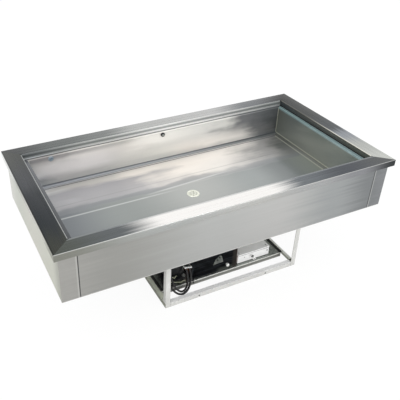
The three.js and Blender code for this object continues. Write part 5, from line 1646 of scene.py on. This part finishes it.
# %% Gland and hook
cable_gland = turned("gland_relief", [
    (0.0052, 0.2507), (0.0056, 0.2512), (0.0058, 0.2545), (0.0050, 0.2549), (0.0051, 0.2560),
    (0.0062, 0.2564), (0.0064, 0.2590), (0.0055, 0.2594), (0.0056, 0.2606), (0.0068, 0.2610),
    (0.0070, 0.2636), (0.0060, 0.2640), (0.0062, 0.2652), (0.0074, 0.2656), (0.0076, 0.2690),
    (0.0077, 0.2756)], centre=(cord_exit.x, cord_exit.y, 0), sides=36)
gland_nut = turned("gland_nut", [
    (0.0086, 0.2752), (0.0098, 0.2760), (0.0110, 0.2780), (0.0110, 0.2897)],
    centre=(cord_exit.x, cord_exit.y, 0), sides=6)
gland_nut = round_edges(gland_nut, 0.0007)
cable_gland = fuse("cable_gland", [cable_gland, gland_nut])
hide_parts("cord_gland")
finish_piece(cable_gland, black_plastic)
crest = math.atan((half_width - loop_step) / (half_height - loop_step) * math.tan(-hank_tilt))
inner_top = hank_point(2 + crest / (2 * math.pi))
hook_z = inner_top.z - cord_width / 2 - 0.0008 - 0.003
hook_front = hank_centre.y - layer_step / 2 - cord_width / 2 - 0.0056
hook_back = hank_centre.y + layer_step / 2 + cord_width / 2 + 0.003 + 0.0056
hook = pipe("hook_rod", [
    (inner_top.x, hook_back, hook_z + 0.010), (inner_top.x, hook_back, hook_z),
    (inner_top.x, hook_front, hook_z), (inner_top.x, hook_front, 0.2880)], 0.003, 0.006)
hook_pad = turned("hook_pad", [
    (0.0112, 0.2867), (0.0120, 0.2873), (0.0120, 0.2897)],
    centre=(inner_top.x, hook_front, 0), sides=40)
hook_tip = turned("hook_tip", [
    (0.0030, 0.0), (0.0028, 0.0008), (0.0018, 0.0016)],
    centre=(inner_top.x, hook_back, hook_z + 0.010), sides=16)
hook = fuse("cord_hanger", [hook, hook_pad, hook_tip])
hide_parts("cord_hook")
finish_piece(hook, black_paint)
print("hook top at", round(hook_z, 4))

# %% Place of the tie
tie_centre = hank_centre + Vector((0.035, 0, 0.030))
tie_lean = math.radians(15)
tie_along = Vector((math.cos(tie_lean), 0, -math.sin(tie_lean)))
tie_up = Vector((math.sin(tie_lean), 0, math.cos(tie_lean)))


def passes_tie(lap):
    """Where the strand of one lap passes the tie, measured along its band"""
    above, below = lap + 0.1, lap + 0.4
    for halving in range(24):
        turn = (above + below) / 2
        if (hank_point(turn) - tie_centre).dot(tie_up) > 0:
            above = turn
        else:
            below = turn
    return (hank_point(above) - tie_centre).dot(tie_along)


def tie_part(name, low, high, radius):
    """A block made flat and then turned to lie along the tie"""
    piece = round_edges(block(name, low, high), radius)
    piece.matrix_world = Matrix.Translation(tie_centre) @ Matrix.Rotation(tie_lean, 4, "Y")
    return settle(piece)


print("tie leans", round(math.degrees(tie_lean)), "degrees")

# %% Tie round the right-hand strands of the hank
slant = tie_lean - hank_tilt
spare = (cord_width / 2 + 0.0003) / math.cos(slant) + 0.0023 * math.tan(slant) + 0.0003
strands = [passes_tie(lap) for lap in range(4)]
tie_left, tie_right, tie_depth = spare - min(strands), spare + max(strands), 0.0090
strap, strap_half = 0.0012, 0.0013
outer_left, outer_right, strap_front = -tie_left - strap, tie_right + strap, -tie_depth - strap
band_sides = [
    ((outer_left, strap_front), (outer_right, -tie_depth)),
    ((outer_left, tie_depth), (outer_right, tie_depth + strap)),
    ((outer_left, -tie_depth), (-tie_left, tie_depth)),
    ((tie_right, -tie_depth), (outer_right, tie_depth))]
band = [tie_part("band", (*low, -strap_half), (*high, strap_half), 0.0003)
        for low, high in band_sides]
head = tie_part("head", (-tie_left, strap_front - 0.0049, -0.0030),
                (0.006 - tie_left, strap_front, 0.0030), 0.0009)
tail_y = strap_front - 0.00245
tail = tie_part("tail", (0.0035 - tie_left, tail_y - strap, -strap_half),
                (0.032 - tie_left, tail_y, strap_half), 0.0003)
teeth = [tie_part("tooth", (0.0080 - tie_left + 0.0016 * n, tail_y - strap - 0.0003, -0.0010),
                  (0.0088 - tie_left + 0.0016 * n, tail_y - strap + 0.0002, 0.0010), 0.0001)
         for n in range(14)]
tie = fuse("hank_tie", [*band, head, tail, *teeth])
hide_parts("cord_tie")
finish_piece(tie, white_plastic)
print("tie spans", round(tie_left + tie_right, 4), "m of strands")

# %% Moulded plug
plug_body = block("plug_body", (0.024, plug_y - 0.017, plug_z - 0.015),
                  (0.064, plug_y + 0.017, plug_z + 0.015))
open_up(plug_body, "EDGE")
pick_edges(plug_body, lambda a, b: abs(a.x - b.x) > 0.01)
bpy.ops.mesh.bevel(offset=0.009, segments=6, affect="EDGES")
bpy.ops.mesh.select_mode(type="FACE")
pick_faces(plug_body, lambda middle, normal: normal.x < -0.9)
bpy.ops.mesh.inset(thickness=0.003, depth=0)
bpy.ops.transform.translate(value=(-0.0040, 0, 0))
bpy.ops.mesh.inset(thickness=0.003, depth=0)
bpy.ops.transform.translate(value=(-0.0020, 0, 0))
pick_faces(plug_body, lambda middle, normal: normal.x > 0.9)
bpy.ops.mesh.inset(thickness=0.0025, depth=-0.0008)
close_up()
round_edges(plug_body, 0.0008)
grips = []
for n in range(5):
    x = 0.031 + n * 0.0045
    for side in (-1, 1):
        grips.append(round_edges(block("grip", (x, plug_y + side * 0.0165 - 0.0006, plug_z - 0.008),
                                       (x + 0.0018, plug_y + side * 0.0165 + 0.0006,
                                        plug_z + 0.008)), 0.0004))
relief_rings = [(0.0050, 0.0), (0.0052, 0.0004)]
for n in range(4):
    start, grow = 0.001 + n * 0.004, 0.00045 * n
    relief_rings += [
        (0.0054 + grow, start), (0.0057 + grow, start + 0.0026),
        (0.0050 + grow, start + 0.0028), (0.0051 + grow, start + 0.0037)]
relief_rings += [(0.0074, 0.0170), (0.0082, 0.0200)]
relief = turned("plug_relief", relief_rings, centre=(0.004, plug_y, plug_z), along=(1, 0, 0),
                sides=32)
plug_body = fuse("plug_moulding", [plug_body, relief, *grips])
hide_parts("cord_plug")
finish_piece(plug_body, black_plastic)
pins = []
for side in (-1, 1):
    pins.append(turned("pin", [
        (0.0022, 0.0), (0.0024, 0.0004), (0.0024, 0.0180), (0.0020, 0.0188), (0.0012, 0.0193)],
        centre=(0.0635, plug_y + side * 0.0095, plug_z), along=(1, 0, 0), sides=24))
plug_pins = fuse("plug_pins", pins)
finish_piece(plug_pins, bright_chrome)
print("plug done")

# %% [markdown]
# ## Control box details
#
# The white box holds the wiring. Screws hold its lid and its lug. On its right end are a
# rocker switch and the thermostat knob, with plain tick marks around it. The small white
# cap on the coil's face closes a service port.

# %% Screws
def screw(name, centre, along, radius=0.0034):
    """A domed head with a crossed recess"""
    head = turned(name, [
        (radius, 0.0), (radius, radius * 0.2), (radius * 0.86, radius * 0.5),
        (radius * 0.5, radius * 0.66)], centre=centre, along=along, sides=24)
    across = Vector(along).orthogonal().normalized()
    other = Vector(along).cross(across)
    top = Vector(centre) + Vector(along) * radius * 0.66
    for way, side in ((across, other), (other, across)):
        low = top - way * radius * 0.55 - side * radius * 0.1 - Vector(along) * radius * 0.3
        high = top + way * radius * 0.55 + side * radius * 0.1 + Vector(along) * radius * 0.3
        cut_out(head,
                block("cross", [min(a, b) for a, b in zip(low, high)],
                      [max(a, b) for a, b in zip(low, high)]))
    return head


box_low, box_high = [Vector(corner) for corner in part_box("control_box_lid")]
screws = [screw("screw", (x, y, box_high.z), (0, 0, 1))
          for x in (box_low.x + 0.012, box_high.x - 0.012)
          for y in (box_low.y + 0.012, box_high.y - 0.012)]
lug_x = 0.2208
screws.append(screw("screw", (lug_x, -0.1545, 0.0246), (0, 0, 1), 0.0030))
for x in (fan_axis.x - 0.024, fan_axis.x + 0.024):
    screws.append(screw("screw", (x, 0.008, 0.0256), (0, 0, 1)))
    screws.append(screw("screw", (x, -0.0181, 0.150), (0, 1, 0), 0.0030))
screws.append(screw("screw", (0.1648, -0.1590, 0.0559), (0, -1, 0), 0.0022))
screws.append(screw("screw", (0.2052, -0.1610, 0.0470), (0, -1, 0), 0.0030))
screws = fuse("small_screws", screws)
finish_piece(screws, steel_screw)
print("small screws done")

# %% Dark heads and eyelets
clamp = turned("clamp_ring", [
    (0.0058, 0.0), (0.0060, 0.0010), (0.0052, 0.0022), (0.0034, 0.0022), (0.0030, 0.0016)],
    centre=(0.2052, -0.1590, 0.0470), along=(0, -1, 0), sides=40)
dark_heads = [clamp, screw("dark_head", (0.2774, -0.1590, 0.0563), (0, -1, 0), 0.0024)]
for x in (-0.0900, 0.2220):
    dark_heads.append(turned("eyelet", [
        (0.0031, 0.0), (0.0031, 0.0021), (0.0026, 0.0026), (0.0012, 0.0024)],
        centre=(x, -0.2325, 0.0085), along=(0, -1, 0), sides=28))
dark_heads = fuse("dark_heads", dark_heads)
finish_piece(dark_heads, black_plastic)
print("dark heads done")

# %% Service cap
cap_high = Vector(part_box("service_cap")[1])
cap_middle = middle_of("service_cap")
cap = turned("port_cap", [
    (0.0049, 0.0), (0.0049, 0.0038), (0.0064, 0.0044), (0.0070, 0.0052), (0.0070, 0.0098),
    (0.0066, 0.0108), (0.0042, 0.0124), (0.0036, 0.0130)],
    centre=(cap_middle.x, cap_high.y, cap_middle.z), along=(0, -1, 0), sides=36)
ridge = block("ridge", (cap_middle.x - 0.0004, cap_high.y - 0.0098, cap_middle.z + 0.0066),
              (cap_middle.x + 0.0004, cap_high.y - 0.0052, cap_middle.z + 0.0074))
ridges = [ridge] + [turned_copy(ridge, "ridge", cap_middle, "Y", 20 * n) for n in range(1, 18)]
cap = fuse("port_cap", [cap, *ridges])
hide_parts("service_cap")
finish_piece(cap, white_plastic)
print("service cap done")

# %% Thermostat knob
knob_low, knob_high = [Vector(corner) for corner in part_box("thermostat_knob")]
knob_middle = middle_of("thermostat_knob")
face_x = knob_high.x - 0.014
knob_turned = turned("knob_body", [
    (0.0122, 0.0), (0.0130, 0.0006), (0.0130, 0.0042), (0.0120, 0.0052), (0.0108, 0.0066),
    (0.0102, 0.0118), (0.0096, 0.0128), (0.0080, 0.0131)],
    centre=(face_x, knob_middle.y, knob_middle.z), along=(1, 0, 0), sides=60)
knob_stem = rod("knob_stem", 0.003, (knob_low.x, knob_middle.y, knob_middle.z),
                (face_x + 0.001, knob_middle.y, knob_middle.z), 24)
grip_bar = round_edges(block("grip_bar",
                             (face_x + 0.006, knob_middle.y - 0.0016, knob_middle.z - 0.0091),
                             (face_x + 0.014, knob_middle.y + 0.0016, knob_middle.z + 0.0091)),
                       0.0006)
flute = rod("flute", 0.0010, (face_x - 0.001, knob_middle.y, knob_middle.z + 0.0135),
            (face_x + 0.0045, knob_middle.y, knob_middle.z + 0.0135), 10)
flutes = [flute] + [turned_copy(flute, "flute", knob_middle, "X", 15 * n) for n in range(1, 24)]
cut_out(knob_turned, fuse("flutes", flutes))
knob_set = fuse("dial_knob", [knob_turned, knob_stem, grip_bar])
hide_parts("thermostat_knob")
finish_piece(knob_set, black_plastic, "knob")
print("knob done")

# %% Mark and ticks of the dial
mark = round_edges(block("knob_mark",
                         (face_x + 0.01385, knob_middle.y - 0.0005, knob_middle.z + 0.0020),
                         (face_x + 0.01398, knob_middle.y + 0.0005, knob_middle.z + 0.0086)),
                   0.00005, 1)
finish_piece(mark, white_plastic, "knob")
tick = block("tick", (box_high.x, knob_middle.y - 0.0003, knob_middle.z + 0.0150),
             (box_high.x + 0.0002, knob_middle.y + 0.0003, knob_middle.z + 0.0175))
ticks = [turned_copy(tick, "tick", knob_middle, "X", 27 * n) for n in range(0, 11)]
bpy.data.objects.remove(tick)
ticks = fuse("dial_ticks", ticks)
finish_piece(ticks, black_plastic)
print("control box details done")

# %% [markdown]
# ## Welds and screws of the shell
#
# The frame's bars are welded where they meet, and the casing's underside is held by a row
# of screws. These are small, but a smooth corner without a weld looks like a toy.

# %% Weld beads and underside screws
ripple, ripples = 0.0015, 12
bead = rod("bead", 0.0016, (0, 0, 0), (0, 0, 0.018), 10)
open_up(bead)
slice_at([(0, 0, ripple * line) for line in range(1, ripples)], (0, 0, 1))
pick_points(bead, lambda point: round(point.z / ripple) % 2 == 0)
bpy.ops.transform.resize(value=(0.72, 0.72, 1))
close_up()
frame_left, frame_right, frame_half = -0.239, 0.371, 0.23499
inner_face, past_edge = 0.0032, 0.0202
beads = []
for x, inward_x in ((frame_left, 1), (frame_right, -1)):
    for y, inward_y in ((-frame_half, 1), (frame_half, -1)):
        for off_x, off_y, z in ((past_edge, inner_face, 0.001), (inner_face, past_edge, 0.001),
                                (inner_face, past_edge, 0.2705)):
            beads.append(another(bead, "bead", (x + inward_x * off_x, y + inward_y * off_y, z)))
bpy.data.objects.remove(bead)
beads = fuse("frame_welds", beads)
finish_piece(beads, frame_paint)
under = []
for x in (-0.56, -0.28, 0.0, 0.28, 0.56):
    for y in (-0.318, 0.318):
        under.append(turned("screw", [
            (0.0042, 0.0), (0.0042, 0.0006), (0.0036, 0.0018), (0.0018, 0.0022)],
            centre=(x, y, 0.2900), along=(0, 0, -1), sides=20))
under = fuse("underside_screws", under)
finish_piece(under, steel_screw)
print("welds and screws done")

finish_piece(cord, sheath, angle=60)
